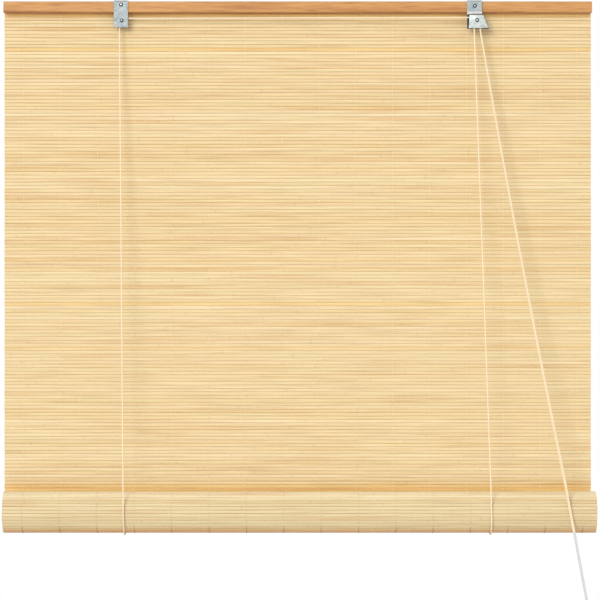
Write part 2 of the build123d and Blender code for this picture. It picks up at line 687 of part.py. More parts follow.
def cord_pieces():
    """All stretches of the two cords, by node name."""
    left_strand, right_strand = strand_ends()
    top_left = (LEFT_PULLEY_X - LEFT_PULLEY_CORD_RADIUS, LEFT_PULLEY_Y, LEFT_PULLEY_Z)
    top_right = (LOCK_PULLEY_X - LOCK_PULLEY_CORD_RADIUS, FRONT_PULLEY_Y, LOCK_PULLEY_Z)
    sides = {
        "left": (front_line(top_left, LEFT_BIGHT_X), rear_line(EYE_LEFT_X, LEFT_BIGHT_X)),
        "right": (front_line(top_right, RIGHT_BIGHT_X), rear_line(EYE_RIGHT_X, RIGHT_BIGHT_X)),
    }
    below = LOCK_BOTTOM - BELOW_LOCK
    over_lock = LOCK_PULLEY_Z + LOCK_PULLEY_CORD_RADIUS
    over_left = LEFT_PULLEY_Z + LEFT_PULLEY_CORD_RADIUS
    pieces = {}
    for side, (front, rear) in sides.items():
        bight = bight_route(front, rear)
        pieces[f"{side}_cord_bight"] = (bight, [CORD_SLACK * BIGHT_RADIUS] * BIGHT_CORNERS)
        pieces[f"{side}_cord_front_leg"] = ([at_height(front[0], front[1], below), bight[0]], ())
        pieces[f"{side}_cord_rear_leg"] = ([rear[0], bight[-1]], ())
    left_front = sides["left"][0]
    left_top_run = [
        at_height(left_front[0], left_front[1], below),
        at_height(left_front[0], left_front[1], over_left),
        at_height(*left_strand, over_lock),
        at_height(*left_strand, below),
    ]
    pieces["left_cord_top_run"] = (left_top_run, [LEFT_PULLEY_CORD_RADIUS, LOCK_PULLEY_CORD_RADIUS])
    right_front = sides["right"][0]
    right_top_wrap = [
        at_height(right_front[0], right_front[1], below),
        at_height(right_front[0], right_front[1], over_lock),
        at_height(*right_strand, over_lock),
        at_height(*right_strand, below),
    ]
    wrap_radius = CORD_SLACK * LOCK_PULLEY_CORD_RADIUS
    pieces["right_cord_top_wrap"] = (right_top_wrap, [wrap_radius, wrap_radius])
    split = ROLL_Z + FRONT_STUB
    for side, strand in (("left", left_strand), ("right", right_strand)):
        joint = at_height(*strand, split)
        pieces[f"{side}_pull_strand_upper"] = ([at_height(*strand, below), joint], ())
        pieces[f"{side}_pull_strand_lower"] = ([joint, strand[1]], ())
    return pieces


# ---------------------------------------------------------------- pull knob

def along_knob(depth):
    """The plane across the knob's axis, at a depth below its top, with its normal down the cord."""
    top, down = knob_axis()
    return Plane(origin=top + down * depth, z_dir=down)


def pull_knob():
    """An acorn of turned wood, bored for the two strands, with a socket below for the knot."""
    with BuildSketch(Plane.XZ) as profile:
        with BuildLine():
            crown = Spline(
                (KNOB_NECK_RADIUS, 0),
                (KNOB_RADIUS, KNOB_LENGTH * KNOB_BELLY),
                (KNOB_FOOT_RADIUS, KNOB_LENGTH),
                tangents=[KNOB_NECK_SLOPE, KNOB_FOOT_SLOPE],
            )
            Line(crown @ 1, (0, KNOB_LENGTH))
            Line((0, KNOB_LENGTH), (0, 0))
            Line((0, 0), crown @ 0)
        make_face()
    turned = revolve(profile.sketch, Axis.Z)
    rest = (Align.CENTER, Align.CENTER, Align.MIN)
    turned -= Cylinder(KNOB_BORE, KNOB_LENGTH, align=rest)
    socket = Cylinder(KNOB_SOCKET, KNOB_SOCKET_DEPTH, align=rest)
    turned -= Pos(0, 0, KNOB_LENGTH - KNOB_SOCKET_DEPTH) * socket
    return along_knob(0) * turned


def pull_knot():
    rest = (Align.CENTER, Align.CENTER, Align.MIN)
    knot = Cylinder(END_KNOT_RADIUS, END_KNOT_LENGTH, align=rest)
    return along_knob(KNOB_LENGTH - KNOB_SOCKET_DEPTH) * knot


def main():
    os.makedirs("parts", exist_ok=True)
    single_pieces = (
        front_batten, rear_batten, batten_nails, mat_head_slats, hanging_slats, hanging_warp_threads,
        rolled_mat, bottom_rail, left_bracket, left_bracket_screw, left_pulley, left_pulley_rivet,
        right_bracket, right_bracket_screw, lock_housing, lock_pulley_rivet, lock_pin, lock_roller,
        cord_anchor_eyes, anchor_knots, pull_knob, pull_knot,
    )
    for make in single_pieces:
        save(make.__name__, make())
    save("rear_lock_pulley", lock_pulley(REAR_PULLEY_Y))
    save("front_lock_pulley", lock_pulley(FRONT_PULLEY_Y))
    for name, (points, radii) in cord_pieces().items():
        save(name, cord_tube(name, points, radii))
    print("knob top and axis", *knob_axis())
    print("lock roller slides along", slide_direction())


main()
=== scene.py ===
"""Looks, light and camera for a roll up blind of split bamboo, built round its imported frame.

Everything is in metres. +X runs right along the headrail, +Z is up, and the room is at -Y.
"""

import json
import logging
import math
from contextlib import contextmanager
from dataclasses import dataclass, field
from enum import Enum
from typing import Callable, Iterator, Sequence

import bmesh
import bpy
import numpy as np
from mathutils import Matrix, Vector


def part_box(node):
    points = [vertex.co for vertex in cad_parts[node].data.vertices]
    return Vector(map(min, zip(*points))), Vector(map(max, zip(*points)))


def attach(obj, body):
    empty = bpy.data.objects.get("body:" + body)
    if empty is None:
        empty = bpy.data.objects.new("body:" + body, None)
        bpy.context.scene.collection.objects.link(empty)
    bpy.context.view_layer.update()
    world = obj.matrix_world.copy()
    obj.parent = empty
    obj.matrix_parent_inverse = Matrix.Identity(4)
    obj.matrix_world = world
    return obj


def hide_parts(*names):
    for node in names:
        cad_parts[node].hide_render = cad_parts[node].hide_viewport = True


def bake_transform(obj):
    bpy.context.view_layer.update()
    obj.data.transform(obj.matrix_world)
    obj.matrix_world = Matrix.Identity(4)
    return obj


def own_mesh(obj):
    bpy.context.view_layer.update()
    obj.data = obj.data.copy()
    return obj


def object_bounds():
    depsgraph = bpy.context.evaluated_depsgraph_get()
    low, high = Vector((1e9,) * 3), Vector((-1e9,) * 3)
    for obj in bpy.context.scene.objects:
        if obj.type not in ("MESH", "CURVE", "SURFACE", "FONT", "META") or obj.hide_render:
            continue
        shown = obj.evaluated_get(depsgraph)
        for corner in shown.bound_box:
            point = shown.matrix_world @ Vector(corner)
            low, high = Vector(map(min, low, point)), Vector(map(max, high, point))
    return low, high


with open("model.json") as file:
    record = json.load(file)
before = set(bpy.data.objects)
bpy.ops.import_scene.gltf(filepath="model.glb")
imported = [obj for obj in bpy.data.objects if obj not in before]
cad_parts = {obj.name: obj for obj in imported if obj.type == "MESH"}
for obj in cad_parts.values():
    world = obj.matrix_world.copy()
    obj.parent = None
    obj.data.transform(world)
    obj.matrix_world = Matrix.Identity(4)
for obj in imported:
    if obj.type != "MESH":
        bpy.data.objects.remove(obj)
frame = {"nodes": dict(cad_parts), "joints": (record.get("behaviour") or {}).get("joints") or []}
CAD_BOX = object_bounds()

LOG = logging.getLogger("bamboo_blind")
SEED = 11

SMOOTH_BELOW = 60.0                            # degrees; sharper edges stay sharp
THREAD_SMOOTH_BELOW = 80.0

Colour = tuple[float, float, float]
Point = tuple[float, float, float]
Span = tuple[float, float]


# ---------------------------------------------------------------- colour and small sums

def shade(red: int, green: int, blue: int) -> Colour:
    """Linear colour of a paint card whose red, green and blue run from 0 to 255."""
    parts = (value / 255 for value in (red, green, blue))
    return tuple(part / 12.92 if part <= 0.04045 else ((part + 0.055) / 1.055) ** 2.4 for part in parts)


def between(start: Sequence[float], end: Sequence[float], share: float) -> Point:
    """The point at a share of the way from start to end."""
    return tuple(a + (b - a) * share for a, b in zip(start, end))


# ---------------------------------------------------------------- working on meshes

def put_down() -> None:
    """Leave nothing selected."""
    bpy.ops.object.select_all(action="DESELECT")


def pick_up(*pieces: bpy.types.Object) -> None:
    """Select these pieces alone, the first one active.

    Args:
        pieces: What to select.
    """
    put_down()
    for piece in pieces:
        piece.select_set(True)
    bpy.context.view_layer.objects.active = pieces[0]


def settle(piece: bpy.types.Object) -> None:
    """Put a piece's place, turn and size into its mesh."""
    pick_up(piece)
    bpy.ops.object.transform_apply(location=True, rotation=True, scale=True)


@contextmanager
def editing(piece: bpy.types.Object) -> Iterator[None]:
    """Edit mode on one piece, with nothing of it selected.

    Args:
        piece: The piece to edit.

    Yields:
        Nothing; the mode ends with the block.
    """
    pick_up(piece)
    bpy.ops.object.mode_set(mode="EDIT")
    bpy.ops.mesh.select_all(action="DESELECT")
    yield
    bpy.ops.object.mode_set(mode="OBJECT")


def choose_edges(piece: bpy.types.Object, wanted: Callable[[Vector, Vector], bool]) -> None:
    """In edit mode, select the edges whose two ends pass a test.

    Args:
        piece: The piece in edit mode.
        wanted: Says of an edge's two ends whether the edge is selected.
    """
    bpy.ops.mesh.select_mode(type="EDGE")
    cage = bmesh.from_edit_mesh(piece.data)
    for edge in cage.edges:
        edge.select_set(wanted(edge.verts[0].co, edge.verts[1].co))
    bmesh.update_edit_mesh(piece.data)


def choose_faces(piece: bpy.types.Object, wanted: Callable[[Vector, Vector], bool]) -> None:
    """In edit mode, select the faces whose middle and normal pass a test.

    Args:
        piece: The piece in edit mode.
        wanted: Says of a face's middle and normal whether the face is selected.
    """
    bpy.ops.mesh.select_mode(type="FACE")
    cage = bmesh.from_edit_mesh(piece.data)
    for face in cage.faces:
        face.select_set(wanted(face.calc_center_median(), face.normal))
    bmesh.update_edit_mesh(piece.data)


def smooth(piece: bpy.types.Object, degrees: float) -> None:
    """Shade a piece smooth, but keep edges sharper than an angle."""
    pick_up(piece)
    bpy.ops.object.shade_smooth_by_angle(angle=math.radians(degrees))


def keep_faces_flat(piece: bpy.types.Object) -> None:
    """Let the narrow bevels of a smooth piece carry its shading, so that its wide faces look flat.

    Args:
        piece: The piece.
    """
    pick_up(piece)
    flat = piece.modifiers.new("flat_faces", "WEIGHTED_NORMAL")
    bpy.ops.object.modifier_apply(modifier=flat.name)


def points_of(mesh: bpy.types.Mesh) -> np.ndarray:
    """A mesh's points as rows.

    Args:
        mesh: The mesh.

    Returns:
        One row of three numbers for each point.
    """
    flat = np.empty(len(mesh.vertices) * 3)
    mesh.vertices.foreach_get("co", flat)
    return flat.reshape(-1, 3)


class Copies:
    """Changed copies of one pattern piece, gathered into a single piece.

    The pattern's points and faces are sorted, because the editing that made it leaves them in any order.
    """

    DECIMALS = 9

    def __init__(self, pattern: bpy.types.Object, mirrored: bool = False) -> None:
        """Read the pattern and clear it away.

        Args:
            pattern: The piece to copy, at the origin.
            mirrored: Whether the copies are mirror images, whose faces have to be turned round.
        """
        places = points_of(pattern.data)
        order = np.lexsort(places.round(self.DECIMALS).T)
        rank = np.argsort(order).tolist()
        way = -1 if mirrored else 1
        self.pattern = places[order]
        self.faces = sorted(
            self.from_lowest([rank[corner] for corner in face.vertices][::way])
            for face in pattern.data.polygons
        )
        self.rows: list[np.ndarray] = []
        self.tones: list[float] = []
        bpy.data.objects.remove(pattern)

    @staticmethod
    def from_lowest(corners: list[int]) -> list[int]:
        """A face's corners in their order round it, starting from the lowest number."""
        start = corners.index(min(corners))
        return corners[start:] + corners[:start]

    def add(self, points: np.ndarray, tone: float) -> None:
        """Add one copy: its points in the pattern's order, and its own tone from 0 to 1."""
        self.rows.append(points)
        self.tones.append(tone)

    def gather(self, name: str, edge: np.ndarray | float = 0.0) -> bpy.types.Object:
        """Make the piece.

        Args:
            name: The piece's name.
            edge: For each point of the pattern, how near it is to a split edge, 0 to 1.

        Returns:
            The piece, with a "tone" and an "edge" attribute on its points.
        """
        count = len(self.pattern)
        faces = [
            [corner + number * count for corner in face]
            for number in range(len(self.rows))
            for face in self.faces
        ]
        mesh = bpy.data.meshes.new(name)
        mesh.from_pydata(np.concatenate(self.rows).tolist(), [], faces)
        tones = mesh.attributes.new("tone", "FLOAT", "POINT")
        tones.data.foreach_set("value", np.repeat(self.tones, count))
        edges = mesh.attributes.new("edge", "FLOAT", "POINT")
        edges.data.foreach_set("value", np.tile(np.broadcast_to(edge, count), len(self.rows)))
        piece = bpy.data.objects.new(name, mesh)
        bpy.context.collection.objects.link(piece)
        return piece


# ---------------------------------------------------------------- finishes

Socket = bpy.types.NodeSocket
Stops = Sequence[tuple[float, Colour]]

FADE_IN: Span = (0.0, 1.0)
FADE_OUT: Span = (1.0, 0.0)
NOISE_SPAN: Span = (0.3, 0.7)                  # where cloudy noise mostly lies


@dataclass(frozen=True)
class Grain:
    """Cloudy noise: how it is stretched and how fine it is, and the values between which it fades in."""

    stretch: Point | None = None
    scale: float = 1.0
    detail: float = 2.0
    twist: float = 0.0
    span: Span = NOISE_SPAN


def set_stops(ramp: bpy.types.Node, stops: Stops) -> None:
    """Set a colour ramp.

    Args:
        ramp: The ramp's node.
        stops: Places and their colours, in order.
    """
    band = ramp.color_ramp.elements
    while len(band) < len(stops):
        band.new(0.5)
    for element, (position, colour) in zip(band, stops):
        element.position = position
        element.color = (*colour, 1.0)


class NodeBench:
    """A new material's nodes, with short calls that add and join them."""

    def __init__(self, name: str) -> None:
        """Start a material.

        Args:
            name: The material's name.
        """
        self.material = bpy.data.materials.new(name)
        self.material.use_nodes = True
        self.tree = self.material.node_tree
        self.shader = self.tree.nodes["Principled BSDF"]

    def add(self, kind: str, **settings: object) -> bpy.types.Node:
        """Add a node.

        Args:
            kind: The node's type.
            settings: Its properties.

        Returns:
            The node.
        """
        node = self.tree.nodes.new(kind)
        for key, value in settings.items():
            setattr(node, key, value)
        return node

    def feed(self, target: Socket, source: Socket | float | Colour) -> None:
        """Join a socket to a source, or set it to a plain value.

        Args:
            target: The input socket.
            source: An output socket, a number or a colour.
        """
        if isinstance(source, bpy.types.NodeSocket):
            self.tree.links.new(source, target)
        elif isinstance(source, tuple) and len(target.default_value) == 4:
            target.default_value = (*source, 1.0)
        else:
            target.default_value = source

    def place(self) -> Socket:
        """The point on the piece, in metres."""
        return self.add("ShaderNodeTexCoord").outputs["Object"]

    def unwrapped(self) -> Socket:
        """The point on the piece's UV map."""
        return self.add("ShaderNodeUVMap", uv_map="UVMap").outputs["UV"]

    def attribute(self, name: str) -> Socket:
        """A number kept on the mesh."""
        return self.add("ShaderNodeAttribute", attribute_name=name).outputs["Fac"]

    def stretched(self, vector: Socket, scale: Point) -> Socket:
        """A vector scaled along each axis.

        Args:
            vector: The vector.
            scale: The three scales.

        Returns:
            The scaled vector.
        """
        node = self.add("ShaderNodeMapping")
        self.feed(node.inputs["Vector"], vector)
        node.inputs["Scale"].default_value = scale
        return node.outputs["Vector"]

    def shifted(self, vector: Socket, amount: Socket, way: Point) -> Socket:
        """A vector moved by an amount along a way.

        Args:
            vector: The vector.
            amount: How far.
            way: The move for an amount of 1.

        Returns:
            The moved vector.
        """
        move = self.add("ShaderNodeVectorMath", operation="SCALE")
        move.inputs[0].default_value = way
        self.feed(move.inputs["Scale"], amount)
        total = self.add("ShaderNodeVectorMath", operation="ADD")
        self.feed(total.inputs[0], vector)
        self.feed(total.inputs[1], move.outputs[0])
        return total.outputs[0]

    def part(self, vector: Socket, axis: str) -> Socket:
        """One part of a vector.

        Args:
            vector: The vector.
            axis: "X", "Y" or "Z".

        Returns:
            That part.
        """
        node = self.add("ShaderNodeSeparateXYZ")
        self.feed(node.inputs[0], vector)
        return node.outputs[axis]

    def off_axis(self, place: Socket, centre: Point) -> Socket:
        """How far a point is from a line along Y.

        Args:
            place: The point.
            centre: Where the line crosses Y = 0.

        Returns:
            The distance.
        """
        node = self.add("ShaderNodeVectorMath", operation="DISTANCE")
        self.feed(node.inputs[0], self.stretched(place, (1.0, 0.0, 1.0)))
        node.inputs[1].default_value = centre
        return node.outputs["Value"]

    def noise(self, vector: Socket, grain: Grain) -> Socket:
        """Cloudy noise.

        Args:
            vector: Where to look it up.
            grain: Its kind.

        Returns:
            A value around one half.
        """
        node = self.add("ShaderNodeTexNoise")
        self.feed(node.inputs["Vector"], self.stretched(vector, grain.stretch) if grain.stretch else vector)
        node.inputs["Scale"].default_value = grain.scale
        node.inputs["Detail"].default_value = grain.detail
        node.inputs["Distortion"].default_value = grain.twist
        return node.outputs["Fac"]

    def veil(self, noise: Socket, grain: Grain, strength: float) -> Socket:
        """How strongly a layer shows: not at all below its grain's span, and fully above it."""
        return self.range(noise, grain.span, (0.0, strength))

    def crystals(self, vector: Socket, scale: float) -> Socket:
        """Flat cells, each with a value of its own.

        Args:
            vector: Where to look them up.
            scale: Cells per unit.

        Returns:
            The cell's value, 0 to 1.
        """
        node = self.add("ShaderNodeTexVoronoi")
        self.feed(node.inputs["Vector"], vector)
        node.inputs["Scale"].default_value = scale
        apart = self.add("ShaderNodeSeparateColor")
        self.feed(apart.inputs[0], node.outputs["Color"])
        return apart.outputs[0]

    def ramp(self, factor: Socket, stops: Stops) -> Socket:
        """Colours along a factor.

        Args:
            factor: The factor, 0 to 1.
            stops: Places and their colours, in order.

        Returns:
            The colour.
        """
        node = self.add("ShaderNodeValToRGB")
        self.feed(node.inputs["Fac"], factor)
        set_stops(node, stops)
        return node.outputs["Color"]

    def range(self, value: Socket, span: Span, result: Span) -> Socket:
        """A value carried from one span to another, and held inside it.

        Args:
            value: The value.
            span: The span it comes from.
            result: The span it goes to.

        Returns:
            The new value.
        """
        node = self.add("ShaderNodeMapRange")
        for socket, source in zip(node.inputs, (value, *span, *result)):
            self.feed(socket, source)
        return node.outputs["Result"]

    def mix(self, mode: str, factor: Socket | float, first: Socket | Colour,
            second: Socket | Colour) -> Socket:
        """Two colours mixed.

        Args:
            mode: How, such as "MIX" or "MULTIPLY".
            factor: The share of the second.
            first: The first colour.
            second: The second colour.

        Returns:
            The mixed colour.
        """
        node = self.add("ShaderNodeMix", data_type="RGBA", blend_type=mode)
        for number, source in ((0, factor), (6, first), (7, second)):
            self.feed(node.inputs[number], source)
        return node.outputs[2]

    def sum(self, operation: str, first: Socket | float, second: Socket | float = 0.0) -> Socket:
        """A small sum.

        Args:
            operation: Such as "ADD", "MULTIPLY", "SINE" or "FRACT".
            first: The first number.
            second: The second number, where the sum has one.

        Returns:
            The result.
        """
        node = self.add("ShaderNodeMath", operation=operation)
        self.feed(node.inputs[0], first)
        self.feed(node.inputs[1], second)
        return node.outputs[0]

    def relief(self, height: Socket, depth: float) -> None:
        """Raise the surface where a height is high.

        Args:
            height: The height, 0 to 1.
            depth: What a height of 1 is, in metres.
        """
        node = self.add("ShaderNodeBump")
        node.inputs["Distance"].default_value = depth
        self.feed(node.inputs["Height"], height)
        self.feed(self.shader.inputs["Normal"], node.outputs["Normal"])

    def surface(self, **sockets: Socket | float | Colour) -> bpy.types.Material:
        """Set the shader's sockets.

        Args:
            sockets: Sources by socket name, with _ for a space.

        Returns:
            The finished material.
        """
        for name, source in sockets.items():
            self.feed(self.shader.inputs[name.replace("_", " ")], source)
        return self.material


@dataclass(frozen=True)
class SplitBamboo:
    """Split bamboo: a tone for each slat, stained lengths, fibres, faint knuckles and painted shade along
    the split edges where slats meet.
    """

    name: str
    tones: Stops
    own_grain: Point = (13.7, 5.3, 9.1)
    stain: Colour = shade(206, 152, 86)
    stains: Grain = Grain((3.6, 40.0, 40.0), detail=3.0, span=(0.53, 0.75))
    stain_strength: float = 0.5
    pale: Colour = (0.62, 0.62, 0.6)
    pale_lengths: Grain = Grain((3.0, 60.0, 60.0), scale=1.7, span=(0.35, 0.7))
    pale_strength: float = 0.5
    fibre: Colour = shade(196, 176, 146)
    fibres: Grain = Grain((14.0, 2200.0, 2200.0), detail=3.0, span=(0.42, 0.7))
    fibre_strength: float = 0.55
    knuckles_per_metre: float = 2.6
    knuckle_width: float = 0.006
    knuckle_strength: float = 0.16
    knuckle_rise: float = 0.3
    # Painted shade in the grooves where one slat meets the next: its colour, and its least and greatest
    # strength.
    groove_shade: Colour = shade(178, 132, 84)
    ragged: Grain = Grain((6.0, 300.0, 300.0), span=(0.3, 0.6))
    groove_shade_least: float = 0.1
    groove_shade_strength: float = 0.36
    relief: float = 0.0001
    roughness: Span = (0.4, 0.62)
    shine: float = 0.35

    def make(self) -> bpy.types.Material:
        """Make the finish.

        Returns:
            Its material.
        """
        bench = NodeBench(self.name)
        tone = bench.attribute("tone")
        place = bench.shifted(bench.place(), tone, self.own_grain)
        body = bench.ramp(tone, self.tones)
        stained = bench.veil(bench.noise(place, self.stains), self.stains, self.stain_strength)
        body = bench.mix("MIX", stained, body, self.stain)
        pale = bench.veil(bench.noise(place, self.pale_lengths), self.pale_lengths, self.pale_strength)
        body = bench.mix("SOFT_LIGHT", pale, body, self.pale)
        fibres = bench.noise(place, self.fibres)
        body = bench.mix("MULTIPLY", bench.veil(fibres, self.fibres, self.fibre_strength), body, self.fibre)
        knuckle = self.knuckle(bench, place)
        body = bench.mix("MULTIPLY", bench.sum("MULTIPLY", knuckle, self.knuckle_strength), body, self.fibre)
        # Painted shade along each long edge where slats meet, ragged along the slat.
        strengths = (self.groove_shade_least, self.groove_shade_strength)
        ragged = bench.range(bench.noise(place, self.ragged), self.ragged.span, strengths)
        split = bench.sum("MULTIPLY", bench.attribute("edge"), ragged)
        body = bench.mix("MULTIPLY", split, body, self.groove_shade)
        height = bench.sum("ADD", fibres, bench.sum("MULTIPLY", knuckle, self.knuckle_rise))
        bench.relief(height, self.relief)
        gloss = bench.range(fibres, NOISE_SPAN, self.roughness)
        return bench.surface(Base_Color=body, Roughness=gloss, Specular_IOR_Level=self.shine)

    def knuckle(self, bench: NodeBench, place: Socket) -> Socket:
        """Where a slat has a knuckle.

        Args:
            bench: The material's bench.
            place: The point on the slat.

        Returns:
            1 on a knuckle, falling to 0 beside it.
        """
        along = bench.sum("MULTIPLY", bench.part(place, "X"), self.knuckles_per_metre)
        off = bench.sum("ABSOLUTE", bench.sum("SUBTRACT", bench.sum("FRACT", along), 0.5))
        return bench.range(off, (0.0, self.knuckle_width), FADE_OUT)


@dataclass(frozen=True)
class RailWood:
    """Planed and oiled wood with a long fine grain."""

    name: str
    dark: Colour = shade(162, 101, 48)
    middle: Colour = shade(191, 133, 72)
    light: Colour = shade(203, 150, 89)
    figure: Grain = Grain((4.5, 60.0, 130.0), detail=6.0, twist=0.5)
    figure_steps: Sequence[float] = (0.28, 0.42, 0.58, 0.72)
    patches: Grain = Grain((9.0, 20.0, 40.0), span=(0.5, 0.72))
    patch_strength: float = 0.5
    pore: Colour = shade(150, 104, 66)
    pores: Grain = Grain((35.0, 1500.0, 2400.0), span=(0.5, 0.72))
    pore_strength: float = 0.7
    pore_depth: float = 0.00008
    roughness: Span = (0.36, 0.52)
    shine: float = 0.45

    def make(self) -> bpy.types.Material:
        """Make the finish.

        Returns:
            Its material.
        """
        bench = NodeBench(self.name)
        place = bench.place()
        figure = bench.noise(place, self.figure)
        colours = (self.dark, self.middle, self.light, self.middle)
        body = bench.ramp(figure, tuple(zip(self.figure_steps, colours)))
        patches = bench.veil(bench.noise(place, self.patches), self.patches, self.patch_strength)
        body = bench.mix("MIX", patches, body, self.middle)
        pores = bench.noise(place, self.pores)
        body = bench.mix("MULTIPLY", bench.veil(pores, self.pores, self.pore_strength), body, self.pore)
        bench.relief(pores, -self.pore_depth)
        gloss = bench.range(figure, NOISE_SPAN, self.roughness)
        return bench.surface(Base_Color=body, Roughness=gloss, Specular_IOR_Level=self.shine)


@dataclass(frozen=True)
class GalvanisedSteel:
    """Zinc coated steel with small crystals, rubbed spots, and painted shade round its screw and rivet
    heads.
    """

    name: str
    heads: Sequence[Point] = ()
    dull: Colour = shade(124, 132, 136)
    bright: Colour = shade(162, 169, 170)
    bright_span: Span = (0.3, 0.85)
    waves: Grain = Grain(scale=300.0)
    wave_reach: Point = (0.0012, 0.0012, 0.0012)
    crystals_per_metre: float = 420.0
    crystal_share: float = 0.28
    clouds: Grain = Grain(scale=120.0, detail=4.0)
    cloud_share: float = 0.9
    rub: Colour = shade(202, 203, 194)
    rubbed_crystals: float = 2.7
    rub_span: Span = (0.86, 1.0)
    rub_strength: float = 0.4
    # Painted shade: a dark ring on the sheet round each screw and rivet head.
    head_shade: Colour = shade(70, 70, 66)
    head_shade_span: Span = (0.0023, 0.0031)
    head_shade_strength: float = 0.85
    relief: float = 0.00005
    gloss_span: Span = (0.3, 0.9)
    roughness: Span = (0.5, 0.34)
    metal: float = 0.85

    def make(self) -> bpy.types.Material:
        """Make the finish.

        Returns:
            Its material.
        """
        bench = NodeBench(self.name)
        place = bench.place()
        wavy = bench.shifted(place, bench.noise(place, self.waves), self.wave_reach)
        crystal = bench.crystals(wavy, self.crystals_per_metre)
        small = bench.crystals(wavy, self.rubbed_crystals * self.crystals_per_metre)
        cloud = bench.noise(place, self.clouds)
        mottle = bench.sum(
            "ADD",
            bench.sum("MULTIPLY", crystal, self.crystal_share),
            bench.sum("MULTIPLY", cloud, self.cloud_share),
        )
        body = bench.ramp(mottle, tuple(zip(self.bright_span, (self.dull, self.bright))))
        body = bench.mix("MIX", bench.range(small, self.rub_span, (0.0, self.rub_strength)), body, self.rub)
        # Painted shade round each head.
        for head in self.heads:
            near = bench.range(bench.off_axis(place, head), self.head_shade_span, (self.head_shade_strength, 0.0))
            body = bench.mix("MIX", near, body, self.head_shade)
        # Painted highlight or painted shade, in the steels that have them.
        body = self.wear(bench, place, body)
        bench.relief(bench.sum("ADD", crystal, cloud), self.relief)
        gloss = bench.range(mottle, self.gloss_span, self.roughness)
        return bench.surface(Base_Color=body, Metallic=self.metal, Roughness=gloss)

    def wear(self, bench: NodeBench, place: Socket, body: Socket) -> Socket:
        """Paint a highlight or shade into the colour; plain steel stays as it is."""
        return body


@dataclass(frozen=True)
class LippedSteel(GalvanisedSteel):
    """The same steel, with a painted highlight along a folded lip."""

    # Painted highlight along the lip.
    lip_highlight: Colour = shade(246, 246, 246)
    lip_top: float = -0.0042
    lip_bottom: float = -0.0078
    fade: float = 0.0008

    def wear(self, bench: NodeBench, place: Socket, body: Socket) -> Socket:
        """Paint a highlight on the lip.

        Args:
            bench: The material's bench.
            place: The point on the piece.
            body: The colour so far.

        Returns:
            The colour, with a painted highlight between the lip's two heights.
        """
        height = bench.part(place, "Z")
        under = bench.range(height, (self.lip_top - self.fade, self.lip_top), FADE_OUT)
        over = bench.range(height, (self.lip_bottom - self.fade, self.lip_bottom), FADE_IN)
        return bench.mix("MIX", bench.sum("MULTIPLY", under, over), body, self.lip_highlight)


@dataclass(frozen=True)
class ShadedLockSteel(GalvanisedSteel):
    """The same steel, with painted shade between the two cheeks of the lock."""

    # Painted shade inside the lock, behind the front cheek and below the lip.
    inner_shade: Colour = shade(58, 54, 46)
    cheek_back: float = -0.0337
    shaded_depth: float = 0.0022
    shade_top: float = -0.0086
    top_fade: float = 0.00055

    def wear(self, bench: NodeBench, place: Socket, body: Socket) -> Socket:
        """Paint shade on what lies behind the front cheek and below the lip.

        Args:
            bench: The material's bench.
            place: The point on the piece.
            body: The colour so far.

        Returns:
            The colour with its painted shade.
        """
        # Painted shade behind the front cheek and below the lip.
        depth = (self.cheek_back, self.cheek_back + self.shaded_depth)
        behind = bench.range(bench.part(place, "Y"), depth, FADE_IN)
        below = bench.range(bench.part(place, "Z"), (self.shade_top - self.top_fade, self.shade_top), FADE_OUT)
        return bench.mix("MIX", bench.sum("MULTIPLY", behind, below), body, self.inner_shade)


@dataclass(frozen=True)
class DomedHead:
    """A polished screw or rivet head, with a painted highlight in its middle and painted shade towards its
    edge.
    """

    name: str
    centre: Point
    # Painted highlight in the middle of the head, then the flank, then painted shade at its edge.
    crown_highlight: Colour
    flank: Colour = shade(120, 122, 122)
    rim_shade: Colour = shade(40, 41, 42)
    radius: float = 0.00245
    zones: Sequence[float] = (0.0, 0.3, 0.48, 0.72)
    scuffs: Grain = Grain(scale=900.0, detail=3.0)
    unevenness: Span = (-0.06, 0.06)
    relief: float = 0.00003
    roughness: Span = (0.2, 0.36)
    metal: float = 0.95

    def make(self) -> bpy.types.Material:
        """Make the finish.

        Returns:
            Its material.
        """
        bench = NodeBench(self.name)
        place = bench.place()
        scuff = bench.noise(place, self.scuffs)
        # Painted highlight in the middle, painted shade towards the edge.
        out = bench.range(bench.off_axis(place, self.centre), (0.0, self.radius), FADE_IN)
        uneven = bench.sum("ADD", out, bench.range(scuff, NOISE_SPAN, self.unevenness))
        body = bench.ramp(uneven, tuple(zip(self.zones, (self.crown_highlight, self.crown_highlight, self.flank, self.rim_shade))))
        bench.relief(scuff, self.relief)
        gloss = bench.range(scuff, NOISE_SPAN, self.roughness)
        return bench.surface(Base_Color=body, Metallic=self.metal, Roughness=gloss)


@dataclass(frozen=True)
class TurnedMetal:
    """Plain metal with fine turning marks and light wear."""

    name: str
    body: Colour
    worn: Colour
    wear: Grain = Grain(scale=450.0, detail=4.0, span=(0.35, 0.7))
    marks: Grain = Grain((300.0, 9000.0, 300.0))
    relief: float = 0.00003
    roughness: Span = (0.22, 0.42)
    metal: float = 0.95

    def make(self) -> bpy.types.Material:
        """Make the finish.

        Returns:
            Its material.
        """
        bench = NodeBench(self.name)
        place = bench.place()
        wear = bench.noise(place, self.wear)
        body = bench.ramp(wear, tuple(zip(self.wear.span, (self.body, self.worn))))
        bench.relief(bench.noise(place, self.marks), self.relief)
        gloss = bench.range(wear, NOISE_SPAN, self.roughness)
        return bench.surface(Base_Color=body, Metallic=self.metal, Roughness=gloss)


